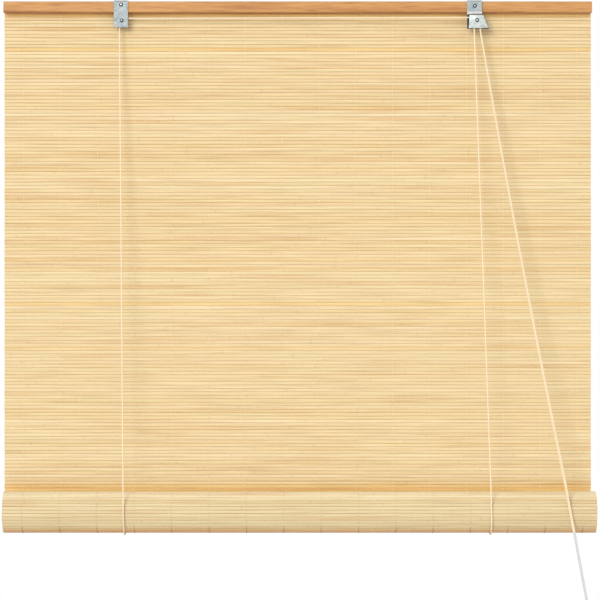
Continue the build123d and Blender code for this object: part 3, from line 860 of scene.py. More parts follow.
@dataclass(frozen=True)
class BraidedCotton:
    """Cotton cord with a fine braid, on a UV map in metres along the cord."""

    name: str
    yarn: Colour = shade(245, 228, 196)
    hollow: Colour = shade(214, 190, 154)
    strands: float = 4.0
    braid: float = 0.003
    braid_span: Span = (-0.5, 1.0)
    fluff: Grain = Grain(scale=2600.0, detail=3.0, span=(0.5, 0.75))
    fluff_strength: float = 0.25
    fluff_rise: float = 0.3
    relief: float = 0.00006
    roughness: float = 0.88
    shine: float = 0.2

    def make(self) -> bpy.types.Material:
        """Make the finish.

        Returns:
            Its material.
        """
        bench = NodeBench(self.name)
        around = bench.unwrapped()
        place = bench.place()
        turn = bench.sum("MULTIPLY", bench.part(around, "Y"), math.tau * self.strands)
        rise = bench.sum("MULTIPLY", bench.part(around, "X"), math.tau / self.braid)
        one = bench.sum("SINE", bench.sum("ADD", turn, rise))
        other = bench.sum("SINE", bench.sum("SUBTRACT", turn, rise))
        height = bench.range(bench.sum("MAXIMUM", one, other), self.braid_span, FADE_IN)
        yarn, hollow = self.shades(bench, place)
        body = bench.mix("MIX", height, hollow, yarn)
        fluff = bench.noise(place, self.fluff)
        body = bench.mix("MULTIPLY", bench.veil(fluff, self.fluff, self.fluff_strength), body, hollow)
        bench.relief(bench.sum("ADD", height, bench.sum("MULTIPLY", fluff, self.fluff_rise)), self.relief)
        return bench.surface(Base_Color=body, Roughness=self.roughness, Specular_IOR_Level=self.shine)

    def shades(self, bench: NodeBench, place: Socket) -> tuple[Socket | Colour, Socket | Colour]:
        """The colours of the raised yarn and of the hollows; a plain cord has one of each."""
        return self.yarn, self.hollow


@dataclass(frozen=True)
class LowShadedCotton(BraidedCotton):
    """The same cord, greyed below the roll as painted shade."""

    # Painted shade below the roll.
    grey: Colour = shade(213, 214, 215)
    grey_hollow: Colour = shade(193, 194, 196)
    plain_above: float = -0.704
    fade: float = 0.005

    def shades(self, bench: NodeBench, place: Socket) -> tuple[Socket | Colour, Socket | Colour]:
        """The colours, which turn grey below a height.

        Args:
            bench: The material's bench.
            place: The point on the piece.

        Returns:
            The yarn's colour and the hollows'.
        """
        # Painted shade: the cord turns grey below a height.
        height = bench.part(place, "Z")
        low = bench.range(height, (self.plain_above - self.fade, self.plain_above), FADE_OUT)
        yarn = bench.mix("MIX", low, self.yarn, self.grey)
        return yarn, bench.mix("MIX", low, self.hollow, self.grey_hollow)


@dataclass(frozen=True)
class LooseCotton:
    """Cotton yarn too small or too knotted for a braid pattern."""

    name: str
    yarn: Colour
    hollow: Colour
    twist: Grain = Grain((2600.0, 2600.0, 900.0), detail=3.0, span=(0.3, 0.65))
    relief: float = 0.00012
    roughness: float = 0.9
    sheen: float = 0.2
    shine: float = 0.2

    def make(self) -> bpy.types.Material:
        """Make the finish.

        Returns:
            Its material.
        """
        bench = NodeBench(self.name)
        twist = bench.noise(bench.place(), self.twist)
        body = bench.mix("MIX", bench.veil(twist, self.twist, 1.0), self.hollow, self.yarn)
        bench.relief(twist, self.relief)
        return bench.surface(Base_Color=body, Roughness=self.roughness, Sheen_Weight=self.sheen,
                             Specular_IOR_Level=self.shine)


@dataclass(frozen=True)
class WarpCotton:
    """Thin warp thread, with a tone for each stitch."""

    name: str
    tones: Stops
    twist: Grain = Grain(scale=2600.0, detail=3.0, span=(0.45, 0.7))
    twist_strength: float = 0.25
    relief: float = 0.00008
    roughness: float = 0.9
    shine: float = 0.2

    def make(self) -> bpy.types.Material:
        """Make the finish.

        Returns:
            Its material.
        """
        bench = NodeBench(self.name)
        darkest = self.tones[0][1]
        body = bench.ramp(bench.attribute("tone"), self.tones)
        twist = bench.noise(bench.place(), self.twist)
        body = bench.mix("MULTIPLY", bench.veil(twist, self.twist, self.twist_strength), body, darkest)
        bench.relief(twist, self.relief)
        return bench.surface(Base_Color=body, Roughness=self.roughness, Specular_IOR_Level=self.shine)


@dataclass(frozen=True)
class TurnedWood:
    """Pale turned wood, waxed, with its grain down the length."""

    name: str
    dark: Colour = shade(172, 118, 68)
    light: Colour = shade(222, 178, 124)
    figure: Grain = Grain((260.0, 260.0, 40.0), detail=5.0, twist=0.8, span=(0.34, 0.6))
    pores: Grain = Grain((2200.0, 2200.0, 260.0), span=(0.52, 0.75))
    pore_strength: float = 0.5
    pore_depth: float = 0.00006
    roughness: Span = (0.3, 0.44)
    wax: float = 0.15

    def make(self) -> bpy.types.Material:
        """Make the finish.

        Returns:
            Its material.
        """
        bench = NodeBench(self.name)
        place = bench.place()
        figure = bench.noise(place, self.figure)
        body = bench.ramp(figure, tuple(zip(self.figure.span, (self.dark, self.light))))
        pores = bench.noise(place, self.pores)
        body = bench.mix("MULTIPLY", bench.veil(pores, self.pores, self.pore_strength), body, self.dark)
        bench.relief(pores, -self.pore_depth)
        gloss = bench.range(figure, NOISE_SPAN, self.roughness)
        return bench.surface(Base_Color=body, Roughness=gloss, Coat_Weight=self.wax)


@dataclass(frozen=True)
class StudioPaint:
    """Matt pale paint with a barely seen unevenness."""

    name: str
    body: Colour = shade(242, 242, 242)
    uneven: Colour = shade(238, 238, 237)
    clouds: Grain = Grain(scale=1.5, detail=4.0)
    roughness: float = 0.95
    shine: float = 0.1

    def make(self) -> bpy.types.Material:
        """Make the finish.

        Returns:
            Its material.
        """
        bench = NodeBench(self.name)
        cloud = bench.noise(bench.place(), self.clouds)
        body = bench.ramp(cloud, tuple(zip(self.clouds.span, (self.uneven, self.body))))
        return bench.surface(Base_Color=body, Roughness=self.roughness, Specular_IOR_Level=self.shine)


# The lowest, golden stops serve the painted warm shade under the rail and above the roll.
FRONT_TONES: Stops = (
    (0.0, shade(240, 183, 86)),
    (0.12, shade(231, 194, 124)),
    (0.24, shade(223, 197, 147)),
    (0.42, shade(226, 202, 152)),
    (0.56, shade(224, 201, 152)),
    (0.72, shade(228, 205, 159)),
    (0.86, shade(225, 198, 150)),
    (1.0, shade(230, 209, 164)),
)
# The low stops give the painted shade under the front of the roll, and the highest ones the painted light on
# its top.
BACK_TONES: Stops = (
    (0.0, shade(206, 154, 98)),
    (0.1, shade(220, 179, 126)),
    (0.2, shade(217, 195, 151)),
    (0.45, shade(219, 200, 157)),
    (0.65, shade(222, 203, 160)),
    (0.8, shade(234, 217, 178)),
    (1.0, shade(238, 223, 187)),
)
# The darkest stops go to the stitches under the front of the roll, which share its painted shade.
WARP_TONES: Stops = (
    (0.0, shade(96, 70, 46)),
    (0.15, shade(170, 136, 96)),
    (0.3, shade(240, 220, 174)),
    (1.0, shade(246, 228, 186)),
)


# Each head's centre, and the colour of the painted highlight in its middle.
HEADS: dict[str, tuple[Point, Colour]] = {
    "left_bracket_screw": ((-0.2399, 0.0, 0.0049), shade(232, 234, 234)),
    "left_pulley_rivet": ((-0.2391, 0.0, -0.0166), shade(172, 176, 180)),
    "right_bracket_screw": ((0.2406, 0.0, 0.0031), shade(212, 215, 215)),
    "lock_pulley_rivet": ((0.2433, 0.0, -0.0172), shade(198, 202, 200)),
}


class Shelf:
    """Every finish that the blind uses, made once."""

    def __init__(self) -> None:
        """Make the materials."""
        heads = tuple(head[0] for head in HEADS.values())
        self.bamboo = SplitBamboo("split_bamboo_front", FRONT_TONES).make()
        # The wound slats get fainter stains and fainter painted groove shade.
        self.rolled_bamboo = SplitBamboo("split_bamboo_back", BACK_TONES, stain_strength=0.35,
                                         groove_shade_strength=0.2).make()
        self.rail_wood = RailWood("oiled_rail_wood").make()
        self.steel = GalvanisedSteel("galvanised_steel", heads).make()
        # Steel with a painted highlight on its lip.
        self.lipped_steel = LippedSteel("galvanised_steel_lipped", heads, dull=shade(132, 142, 146),
                                        bright=shade(170, 180, 181)).make()
        # Steel with painted shade between the lock's cheeks.
        self.lock_steel = ShadedLockSteel("galvanised_steel_inner_shade", heads, dull=shade(150, 160, 160),
                                         bright=shade(206, 212, 206)).make()
        self.heads = {node: DomedHead(f"{node}_head", *head).make() for node, head in HEADS.items()}
        self.rivet = TurnedMetal("polished_rivet_steel", shade(116, 120, 124), shade(170, 173, 175)).make()
        self.brass = TurnedMetal("pulley_brass", shade(176, 142, 78), shade(208, 178, 112)).make()
        self.cord = BraidedCotton("braided_cotton_cord").make()
        self.low_shaded_cord = LowShadedCotton("low_shaded_cotton_cord").make()
        self.knot = LooseCotton("knotted_cotton", shade(250, 244, 234), shade(214, 200, 178)).make()
        self.warp = WarpCotton("warp_cotton", WARP_TONES).make()
        self.knob = TurnedWood("turned_knob_wood").make()


def dress(piece: bpy.types.Object, finish: bpy.types.Material) -> None:
    """Give a piece one finish all over."""
    piece.data.materials.clear()
    piece.data.materials.append(finish)


# ---------------------------------------------------------------- studio

@dataclass
class Studio:
    """Camera, soft light and a pale floor."""

    eye: Point = (0.0031, -3.5102, -0.3964)
    lens: float = 153.96
    film: float = 36.0
    key_turn: float = 24.0
    key_height: float = 19.0
    key_strength: float = 1.7
    key_softness: float = 26.0
    sky: Stops = (
        (0.3, (0.8, 0.8, 0.8)),
        (0.36, (1.0, 1.0, 1.0)),
        (0.57, (1.0, 1.0, 1.0)),
        (0.7, (0.72, 0.72, 0.72)),
    )
    floor_below: float = 1.35
    floor_radius: float = 7.0
    floor_sides: int = 96

    def place_camera(self) -> None:
        """Set the camera level in front of the blind."""
        data = bpy.data.cameras.new("front_camera")
        data.sensor_width = self.film
        data.lens = self.lens
        camera = bpy.data.objects.new("front_camera", data)
        camera.location = self.eye
        camera.rotation_euler = (math.pi / 2, 0.0, 0.0)
        bpy.context.collection.objects.link(camera)
        bpy.context.scene.camera = camera

    def hang_light(self, name: str, turns: Point, strength: float, softness: float) -> None:
        """Hang one large soft light.

        Args:
            name: The light's name.
            turns: Its turns about X, Y and Z, in degrees.
            strength: How bright it is.
            softness: How wide it looks from the blind, in degrees.
        """
        data = bpy.data.lights.new(name, "SUN")
        data.energy = strength
        data.angle = math.radians(softness)
        light = bpy.data.objects.new(name, data)
        light.rotation_euler = [math.radians(turn) for turn in turns]
        bpy.context.collection.objects.link(light)

    def light_air(self) -> None:
        """Even light from all round: white at eye level, softer from above and least from below."""
        world = bpy.data.worlds.new("white_studio")
        world.use_nodes = True
        tree = world.node_tree
        way = tree.nodes.new("ShaderNodeSeparateXYZ")
        height = tree.nodes.new("ShaderNodeMapRange")
        height.inputs["From Min"].default_value = -1.0
        ramp = tree.nodes.new("ShaderNodeValToRGB")
        set_stops(ramp, self.sky)
        tree.links.new(tree.nodes.new("ShaderNodeTexCoord").outputs["Generated"], way.inputs[0])
        tree.links.new(way.outputs["Z"], height.inputs["Value"])
        tree.links.new(height.outputs["Result"], ramp.inputs["Fac"])
        tree.links.new(ramp.outputs["Color"], tree.nodes["Background"].inputs["Color"])
        bpy.context.scene.world = world

    def lay_floor(self) -> None:
        """Lay the pale floor under the blind."""
        put_down()
        height = CAD_BOX[0].z - self.floor_below
        bpy.ops.mesh.primitive_circle_add(vertices=self.floor_sides, radius=self.floor_radius,
                                          fill_type="NGON", location=(0.0, 0.0, height))
        floor = bpy.context.object
        floor.name = "studio_floor"
        settle(floor)
        dress(floor, StudioPaint("pale_floor_paint").make())

    def build(self) -> None:
        """Make the whole studio but the camera."""
        self.hang_light("key_light", (90.0 - self.key_height, 0.0, -self.key_turn),
                        self.key_strength, self.key_softness)
        self.light_air()
        self.lay_floor()
        view = bpy.context.scene.view_settings
        view.view_transform = "Standard"


# ---------------------------------------------------------------- cords

class Travel(Enum):
    """How a stretch of cord goes with the roll."""

    STAYS = "stays on the headrail"
    SHORTENS = "shortens towards its upper end"
    RISES = "rises with the roll"
    PULLS = "draws out to the knob"


@dataclass
class CordStretch:
    """One stretch of a lift cord: the route of a smooth line, and the braided tube round it."""

    name: str
    node: str
    travel: Travel
    route: Sequence[Point]
    length: float
    far_end: str = "object"
    end_pieces: Sequence[bpy.types.Object] = ()
    thickness: float = 0.002
    smoothness: int = 10
    roundness: int = 3
    weld: float = 0.000002

    def line(self) -> bpy.types.Object:
        """Make the route as a smooth spline.

        Returns:
            The spline's object.
        """
        curve = bpy.data.curves.new(self.name, "CURVE")
        curve.dimensions = "3D"
        curve.resolution_u = self.smoothness
        spline = curve.splines.new("NURBS")
        spline.points.add(len(self.route) - 1)
        for point, place in zip(spline.points, self.route):
            point.co = (*place, 1.0)
        spline.order_u = 3
        spline.use_endpoint_u = True
        piece = bpy.data.objects.new(self.name, curve)
        bpy.context.collection.objects.link(piece)
        return piece

    def build(self, finish: bpy.types.Material) -> bpy.types.Object:
        """Args:
            finish: The cord's material.

        Returns:
            The tube.
        """
        piece = self.line()
        bare = bpy.data.meshes.new_from_object(piece)
        path = points_of(bare)
        bpy.data.meshes.remove(bare)
        piece.data.bevel_depth = self.thickness / 2
        piece.data.bevel_resolution = self.roundness
        piece.data.use_fill_caps = True
        pick_up(piece)
        bpy.ops.object.convert(target="MESH")
        with editing(piece):
            bpy.ops.mesh.select_all(action="SELECT")
            bpy.ops.mesh.remove_doubles(threshold=self.weld)
        self.measure_map(piece.data, path)
        smooth(piece, SMOOTH_BELOW)
        dress(piece, finish)
        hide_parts(self.node)
        self.set_moving(piece)
        return piece

    def measure_map(self, mesh: bpy.types.Mesh, path: np.ndarray) -> None:
        """Stretch the tube's UV map to metres along the cord.

        Args:
            mesh: The tube's mesh, whose map runs evenly from one ring of points to the next.
            path: The middle of each ring.
        """
        steps = np.linalg.norm(np.diff(path, axis=0), axis=1)
        travelled = np.concatenate([[0.0], np.cumsum(steps)])
        layer = mesh.uv_layers[0].data
        flat = np.empty(len(layer) * 2)
        layer.foreach_get("uv", flat)
        flat[0::2] = np.interp(flat[0::2] * (len(path) - 1), np.arange(len(path)), travelled)
        layer.foreach_set("uv", flat)

    def set_moving(self, piece: bpy.types.Object) -> None:
        """Make the tube follow its bodies.

        Args:
            piece: The tube.
        """
        if self.travel is Travel.PULLS:
            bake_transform(piece)
        elif self.travel is Travel.RISES:
            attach(piece, "roll_carrier")
        else:
            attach(piece, "headrail")
        if self.travel is Travel.SHORTENS:
            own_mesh(piece)


def joint(name: str) -> dict:
    """A joint of the frame."""
    return next(entry for entry in frame["joints"] if entry["name"] == name)


@dataclass
class WrappedKnot:
    """A barrel of cord wraps, with the loop that it closes."""

    name: str
    node: str
    body: str
    tops: Sequence[Point]
    down: Vector
    wrap_pitch: float
    ring_radius: float
    cord_radius: float
    wraps: int = 3
    lean: float = 9.0
    loop_radius: float = 0.0
    loop_cord: float = 0.001
    loop_width: float = 0.88
    wrap_steps: int = 28
    loop_steps: int = 32
    sides: int = 12

    def wrap(self, top: Vector, number: int) -> bpy.types.Object:
        """One wrap of the barrel, leaning a little as a wound cord does.

        Args:
            top: The top of the barrel.
            number: Which wrap, from the top.

        Returns:
            The wrap.
        """
        put_down()
        turn = self.down.to_track_quat("Z", "Y").to_euler()
        centre = top + self.down * (self.cord_radius + number * self.wrap_pitch)
        bpy.ops.mesh.primitive_torus_add(location=centre, rotation=turn, major_radius=self.ring_radius,
                                         minor_radius=self.cord_radius, major_segments=self.wrap_steps,
                                         minor_segments=self.sides)
        wrap = bpy.context.object
        with editing(wrap):
            bpy.ops.mesh.select_all(action="SELECT")
            bpy.ops.transform.rotate(value=math.radians(self.lean), orient_axis="X", center_override=centre)
        settle(wrap)
        return wrap

    def loop(self, middle: Vector) -> bpy.types.Object:
        """The loop through the screw eye, drawn long by the cord's pull.

        Args:
            middle: The loop's centre.

        Returns:
            The loop.
        """
        put_down()
        bpy.ops.mesh.primitive_torus_add(location=middle, rotation=(0.0, math.pi / 2, 0.0),
                                         major_radius=self.loop_radius, minor_radius=self.loop_cord,
                                         major_segments=self.loop_steps, minor_segments=self.sides)
        loop = bpy.context.object
        with editing(loop):
            bpy.ops.mesh.select_all(action="SELECT")
            bpy.ops.transform.resize(value=(1.0, self.loop_width, 1.0), center_override=middle)
        settle(loop)
        return loop

    def build(self, finish: bpy.types.Material) -> bpy.types.Object:
        """Make the knots as one piece.

        Args:
            finish: Their material.

        Returns:
            The piece.
        """
        parts = []
        for top in map(Vector, self.tops):
            parts += [self.wrap(top, number) for number in range(self.wraps)]
            if self.loop_radius:
                parts.append(self.loop(top - self.down * self.loop_radius))
        pick_up(*parts)
        bpy.ops.object.join()
        knot = bpy.context.object
        knot.name = self.name
        smooth(knot, SMOOTH_BELOW)
        dress(knot, finish)
        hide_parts(self.node)
        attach(knot, self.body)
        return knot


@dataclass(frozen=True)
class CordWay:
    """Where one lift cord runs, from its knot behind the mat to the knob, and how long its stretches are.

    The cord goes down to back_low, round under the roll to front_low, up to front, over the pulleys to
    the lock, down past the roll at split, and to its end in the knob. The reaches say how far from each
    pulley the cord is held to its runs.
    """

    side: str
    knot: Point
    back_low: Point
    under_roll: Sequence[Point]
    front_low: Point
    front: Point
    over_rail: Sequence[Point]
    lock: Point
    split: Point
    end: Point
    lengths: Sequence[float]
    over_name: str
    over_node: str
    far_end: str
    reaches: Sequence[float] = ()


LEFT_WAY = CordWay(
    side="left",
    knot=(-0.229, -0.0052, -0.0206),
    back_low=(-0.233618, -0.008086, -0.6576),
    under_roll=(
        (-0.2338, -0.070672, -0.693383),
        (-0.2338, -0.053254, -0.71287),
        (-0.2338, -0.027137, -0.713884),
        (-0.2338, -0.00826, -0.695808),
    ),
    front_low=(-0.234347, -0.066586, -0.6376),
    front=(-0.242104, -0.022221, -0.0319),
    over_rail=((-0.242341, -0.020866, -0.0134), (0.2476, -0.026264, -0.0128)),
    lock=(0.2478, -0.027502, -0.0319),
    split=(0.357393, -0.066761, -0.6376),
    end=(0.390813, -0.07902, -0.826735),
    lengths=(0.637, 0.1669, 0.6074, 0.5247, 0.6163, 0.1925),
    over_name="left_rail_cord",
    over_node="left_cord_top_run",
    far_end="fitting",
    reaches=(0.0064, 0.0088),
)
RIGHT_WAY = CordWay(
    side="right",
    knot=(0.252, -0.0052, -0.0206),
    back_low=(0.260177, -0.008086, -0.6576),
    under_roll=(
        (0.2605, -0.070516, -0.693759),
        (0.2605, -0.05298, -0.71297),
        (0.2605, -0.026983, -0.713799),
        (0.2605, -0.008259, -0.695745),
    ),
    front_low=(0.259095, -0.067186, -0.6376),
    front=(0.239378, -0.031272, -0.0319),
    over_rail=((0.238757, -0.030139, -0.0128), (0.2476, -0.030176, -0.0128)),
    lock=(0.2478, -0.031356, -0.0319),
    split=(0.358639, -0.06876, -0.6376),
    end=(0.392373, -0.080417, -0.826369),
    lengths=(0.6371, 0.1669, 0.6071, 0.0436, 0.6164, 0.1921),
    over_name="right_lock_cord",
    over_node="right_cord_top_wrap",
    far_end="knot",
)


@dataclass
class LiftCords:
    """Both lift cords, from their knots behind the mat round the roll, over the pulleys and to the knob."""

    edge_reach: float = 0.012
    roll_reach: float = 0.026
    knob_reach: float = 0.024
    draws_out_below: float = -0.72
    sag: float = 0.0052
    anchor_tops: Sequence[Point] = ((-0.229, -0.0052, -0.016), (0.252, -0.0052, -0.016))
    knob_top: Point = (0.387583, -0.07829, -0.804)
    pull_way: Point = (0.174703, -0.062246, -0.982652)
    knot_depth: float = 0.023

    def near(self, start: Point, end: Point, reach: float) -> Point:
        """The point at a reach, in metres, from start towards end."""
        return between(start, end, reach / (Vector(end) - Vector(start)).length)

    def run(self, start: Point, end: Point) -> list[Point]:
        """A taut run between two ends, held straight where it leaves its edge."""
        return [start, self.near(start, end, self.edge_reach), self.near(end, start, self.edge_reach), end]

    def slack_run(self, start: Point, end: Point) -> list[Point]:
        """A slanting run that sags a little between its ends, since only the knob hangs from it."""
        x, y, z = between(start, end, 0.5)
        return [start, (x - self.sag, y, z), end]

    def knob_run(self, start: Point, end: Point) -> list[Point]:
        """The run from beside the roll into the knob, with a point where it starts to draw out."""
        share = (self.draws_out_below - start[2]) / (end[2] - start[2])
        return [start, between(start, end, share), self.near(end, start, self.knob_reach), end]

    def round_roll(self, way: CordWay) -> list[Point]:
        """The way round the underside of the roll.

        Args:
            way: The cord's way.

        Returns:
            The route, with a point before the first corner and one after the last.
        """
        before = self.near(way.under_roll[0], way.front_low, self.roll_reach)
        after = self.near(way.under_roll[-1], way.back_low, self.roll_reach)
        return [way.front_low, before, *way.under_roll, after, way.back_low]

    def over_pulleys(self, way: CordWay) -> list[Point]:
        """The way over one or two pulleys.

        Args:
            way: The cord's way.

        Returns:
            The route, held to its runs at a reach from each corner where the way gives reaches.
        """
        first, second = way.over_rail
        if not way.reaches:
            return [way.front, first, second, way.lock]
        return [
            way.front,
            self.near(first, way.front, way.reaches[0]),
            first,
            self.near(first, second, way.reaches[0]),
            self.near(second, first, way.reaches[1]),
            second,
            self.near(second, way.lock, way.reaches[1]),
            way.lock,
        ]

    def stretches(self, way: CordWay, end_piece: bpy.types.Object) -> list[CordStretch]:
        """Every stretch of one cord, with its route from end to end.

        Args:
            way: The cord's way.
            end_piece: What its far end is tied to.

        Returns:
            The stretches, from the knot behind the mat to the knob.
        """
        back, under, front, over, pull, knob = way.lengths
        cord, strand = f"{way.side}_cord", f"{way.side}_pull_strand"
        return [
            CordStretch(f"{way.side}_back_cord", f"{cord}_rear_leg", Travel.SHORTENS,
                        self.run(way.knot, way.back_low), back),
            CordStretch(f"{way.side}_roll_cord", f"{cord}_bight", Travel.RISES, self.round_roll(way), under),
            CordStretch(f"{way.side}_front_cord", f"{cord}_front_leg", Travel.SHORTENS,
                        self.run(way.front, way.front_low), front),
            CordStretch(way.over_name, way.over_node, Travel.STAYS, self.over_pulleys(way), over),
            CordStretch(f"{way.side}_pull_cord", f"{strand}_upper", Travel.SHORTENS,
                        self.slack_run(way.lock, way.split), pull),
            CordStretch(f"{way.side}_knob_cord", f"{strand}_lower", Travel.PULLS,
                        self.knob_run(way.split, way.end), knob, way.far_end, [end_piece]),
        ]

    def build(self, shelf: Shelf) -> None:
        """Make every stretch.

        Args:
            shelf: The finishes.
        """
        self.anchor_knots().build(shelf.knot)
        pull_knot = self.pull_knot().build(shelf.knot)
        for way, end_piece in ((LEFT_WAY, frame["nodes"]["pull_knob"]), (RIGHT_WAY, pull_knot)):
            for stretch in self.stretches(way, end_piece):
                # The knob cords carry painted shade below the roll.
                stretch.build(shelf.low_shaded_cord if stretch.travel is Travel.PULLS else shelf.cord)
                LOG.info("%s: %s", stretch.name, stretch.travel.value)

    def anchor_knots(self) -> WrappedKnot:
        """Plan the two knots that hang from the screw eyes.

        Returns:
            The knots, not yet built.
        """
        return WrappedKnot("anchor_knots_wrapped", "anchor_knots", "headrail", self.anchor_tops,
                           Vector((0.0, 0.0, -1.0)), wrap_pitch=0.00145, ring_radius=0.00125,
                           cord_radius=0.00085, loop_radius=0.0022)

    def pull_knot(self) -> WrappedKnot:
        """Plan the knot in the knob's lower socket, which both cord ends share.

        Returns:
            The knot, not yet built.
        """
        down = Vector(self.pull_way)
        top = Vector(self.knob_top) + down * self.knot_depth
        return WrappedKnot("pull_knot_wrapped", "pull_knot", "knob_end", [top], down,
                           wrap_pitch=0.00135, ring_radius=0.0019, cord_radius=0.0014)


# ---------------------------------------------------------------- mat

@dataclass
class SlatPattern:
    """One split bamboo slat at the origin, from which every slat of the mat is copied."""

    length: float
    depth: float
    height: float
    round_over: float = 0.00055
    stretches: int = 6

    def model(self) -> bpy.types.Object:
        """Model the slat: a batten with its long edges rounded over, cut across so that it can bend.

        Returns:
            The slat, to be copied.
        """
        put_down()
        bpy.ops.mesh.primitive_cube_add(size=1.0)
        slat = bpy.context.object
        slat.scale = (self.length, self.depth, self.height)
        settle(slat)
        with editing(slat):
            choose_edges(slat, self.runs_along)
            bpy.ops.mesh.bevel(offset=self.round_over, segments=1, affect="EDGES")
            choose_edges(slat, self.runs_along)
            bpy.ops.mesh.subdivide(number_cuts=self.stretches - 1)
        return slat

    def edge(self, points: np.ndarray) -> np.ndarray:
        """How near points are to a long edge: 0 on the flat of the face, 1 against the next slat."""
        return np.clip((np.abs(points[:, 2]) - self.height / 2) / self.round_over + 1.0, 0.0, 1.0)

    def runs_along(self, one: Vector, other: Vector) -> bool:
        """Whether an edge runs along the slat."""
        return abs(one.x - other.x) > self.length / 2


def end_shift(x: np.ndarray, length: float, ends: np.ndarray) -> np.ndarray:
    """How far points move along a slat for its right and left ends to reach past their places."""
    return np.where(x > 0, ends[0], -ends[1]) * np.abs(x) / (length / 2)


class Seams:
    """The slightly wandering lines between neighbouring slats: each a slow wave and a quick one."""

    LONG_WAVE: Span = (0.00004, 0.00016)
    SHORT_WAVE: Span = (0.00001, 0.00006)
    LEAST_SWINGS: Span = (1.0, 3.0)
    MOST_SWINGS: Span = (2.2, 7.0)

    def __init__(self, count: int, length: float, draw: np.random.Generator) -> None:
        """Draw the lines.

        Args:
            count: How many slats there are.
            length: How long they are.
            draw: The random numbers.
        """
        self.length = length
        self.long_wave = draw.uniform(*self.LONG_WAVE, count + 1)
        self.short_wave = draw.uniform(*self.SHORT_WAVE, count + 1)
        self.turns = draw.uniform(0.0, math.tau, (count + 1, 2))
        self.swings = draw.uniform(self.LEAST_SWINGS, self.MOST_SWINGS, (count + 1, 2))

    def at(self, number: int, x: np.ndarray) -> np.ndarray:
        """How far a line wanders.

        Args:
            number: Which line.
            x: Places along the slat.

        Returns:
            The wander at each place.
        """
        share = x / self.length * math.tau
        slow = np.sin(share * self.swings[number, 0] + self.turns[number, 0])
        quick = np.sin(share * self.swings[number, 1] + self.turns[number, 1])
        return self.long_wave[number] * slow + self.short_wave[number] * quick


@dataclass
class HangingMat:
    """The flat part of the mat: slats side by side under the rail."""

    draw: np.random.Generator
    count: int = 142
    gaps: Span = (0.00001, 0.00018)
    end_play: float = 0.0005
    bow: float = 0.00012
    bow_swings: Span = (0.6, 1.6)
    thickness: Span = (0.92, 1.0)
    plain_tones: Span = (0.22, 1.0)
    tan_tones: Span = (0.14, 0.24)
    tan_share: float = 0.07
    # Golden tones for the first slats under the rail and the last ones above the roll: painted warm shade.
    under_rail_shade_tones: Sequence[float] = (0.09, 0.36)
    above_roll_shade_tones: Sequence[float] = (0.14, 0.1, 0.06, 0.02, 0.0)
    low: Vector = field(init=False)
    high: Vector = field(init=False)

    def __post_init__(self) -> None:
        """Take the mat's size from the frame."""
        self.low, self.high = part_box("hanging_slats")

    @property
    def pitch(self) -> float:
        """Height from one slat to the next."""
        return (self.high.z - self.low.z) / self.count

    def build(self, shelf: Shelf) -> bpy.types.Object:
        """Make the slats as one piece.

        Args:
            shelf: The finishes.

        Returns:
            The piece.
        """
        length = self.high.x - self.low.x
        depth = self.high.y - self.low.y
        pattern = SlatPattern(length, depth, self.pitch)
        copies = Copies(pattern.model())
        edge = pattern.edge(copies.pattern)
        seams = Seams(self.count, length, self.draw)
        x, y, z = copies.pattern.T
        share = z / self.pitch + 0.5
        middle = (self.low.y + self.high.y) / 2
        gaps = self.draw.uniform(*self.gaps, self.count + 1) / 2
        for number in range(self.count):
            upper = self.high.z - number * self.pitch + seams.at(number, x) - gaps[number]
            lower = self.high.z - (number + 1) * self.pitch + seams.at(number + 1, x) + gaps[number + 1]
            ends = self.draw.uniform(-self.end_play, 0.0, 2)
            bowed = self.bow * np.sin(x / length * math.tau * self.draw.uniform(*self.bow_swings)
                                      + self.draw.uniform(0.0, math.tau))
            points = np.stack([
                x + end_shift(x, length, ends),
                middle + y * self.draw.uniform(*self.thickness) + bowed * (1 - np.abs(x) / length * 2),
                lower + share * (upper - lower),
            ], axis=1)
            copies.add(points, self.tone(number))
        mat = copies.gather("hanging_bamboo_slats", edge)
        dress(mat, shelf.bamboo)
        smooth(mat, SMOOTH_BELOW)
        keep_faces_flat(mat)
        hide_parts("hanging_slats")
        hang_from_rail(mat)
        return mat

    def tone(self, number: int) -> float:
        """A slat's tone: mostly plain, now and then tan, and golden as painted warm shade under the rail and
        above the roll.

        Args:
            number: Which slat, from the top.

        Returns:
            Its tone.
        """
        # Painted warm shade under the rail and above the roll.
        if number < len(self.under_rail_shade_tones):
            return self.under_rail_shade_tones[number]
        above_roll = number - (self.count - len(self.above_roll_shade_tones))
        if above_roll >= 0:
            return self.above_roll_shade_tones[above_roll]
        tan = self.draw.uniform() < self.tan_share
        return self.draw.uniform(*(self.tan_tones if tan else self.plain_tones))


def hang_from_rail(piece: bpy.types.Object) -> None:
    """Attach a hanging piece to the headrail and give it a mesh of its own.

    Args:
        piece: The piece.
    """
    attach(piece, "headrail")
    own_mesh(piece)


@dataclass
class Stitch:
    """One warp thread's pass over the face of one slat, modelled once at the origin.

    The slat's middle is at the origin and its face looks towards -Y.
    """

    pitch: float
    depth: float
    thread: float = 0.00056
    proud: float = 0.00016
    shoulder: float = 0.0007
    sides: int = 4
    faces_down: float = -0.9

    def model(self) -> bpy.types.Object:
        """Model the pass: a short thread drawn up out of one gap, down the face and into the next gap.

        Returns:
            The pass, to be copied.
        """
        put_down()
        height = self.pitch / 2
        start = self.thread / 2
        bpy.ops.mesh.primitive_cylinder_add(vertices=self.sides, radius=self.thread / 2, depth=start,
                                            location=(0.0, 0.0, height - start / 2))
        stitch = bpy.context.object
        settle(stitch)
        out = self.depth / 2 + self.proud
        steps = (
            (-out, start - self.shoulder),
            (0.0, 2 * self.shoulder - self.pitch),
            (out, -self.shoulder),
        )
        with editing(stitch):
            choose_faces(stitch, lambda middle, normal: normal.z < self.faces_down)
            for step_y, step_z in steps:
                bpy.ops.mesh.extrude_region_move(TRANSFORM_OT_translate={"value": (0.0, step_y, step_z)})
        return stitch


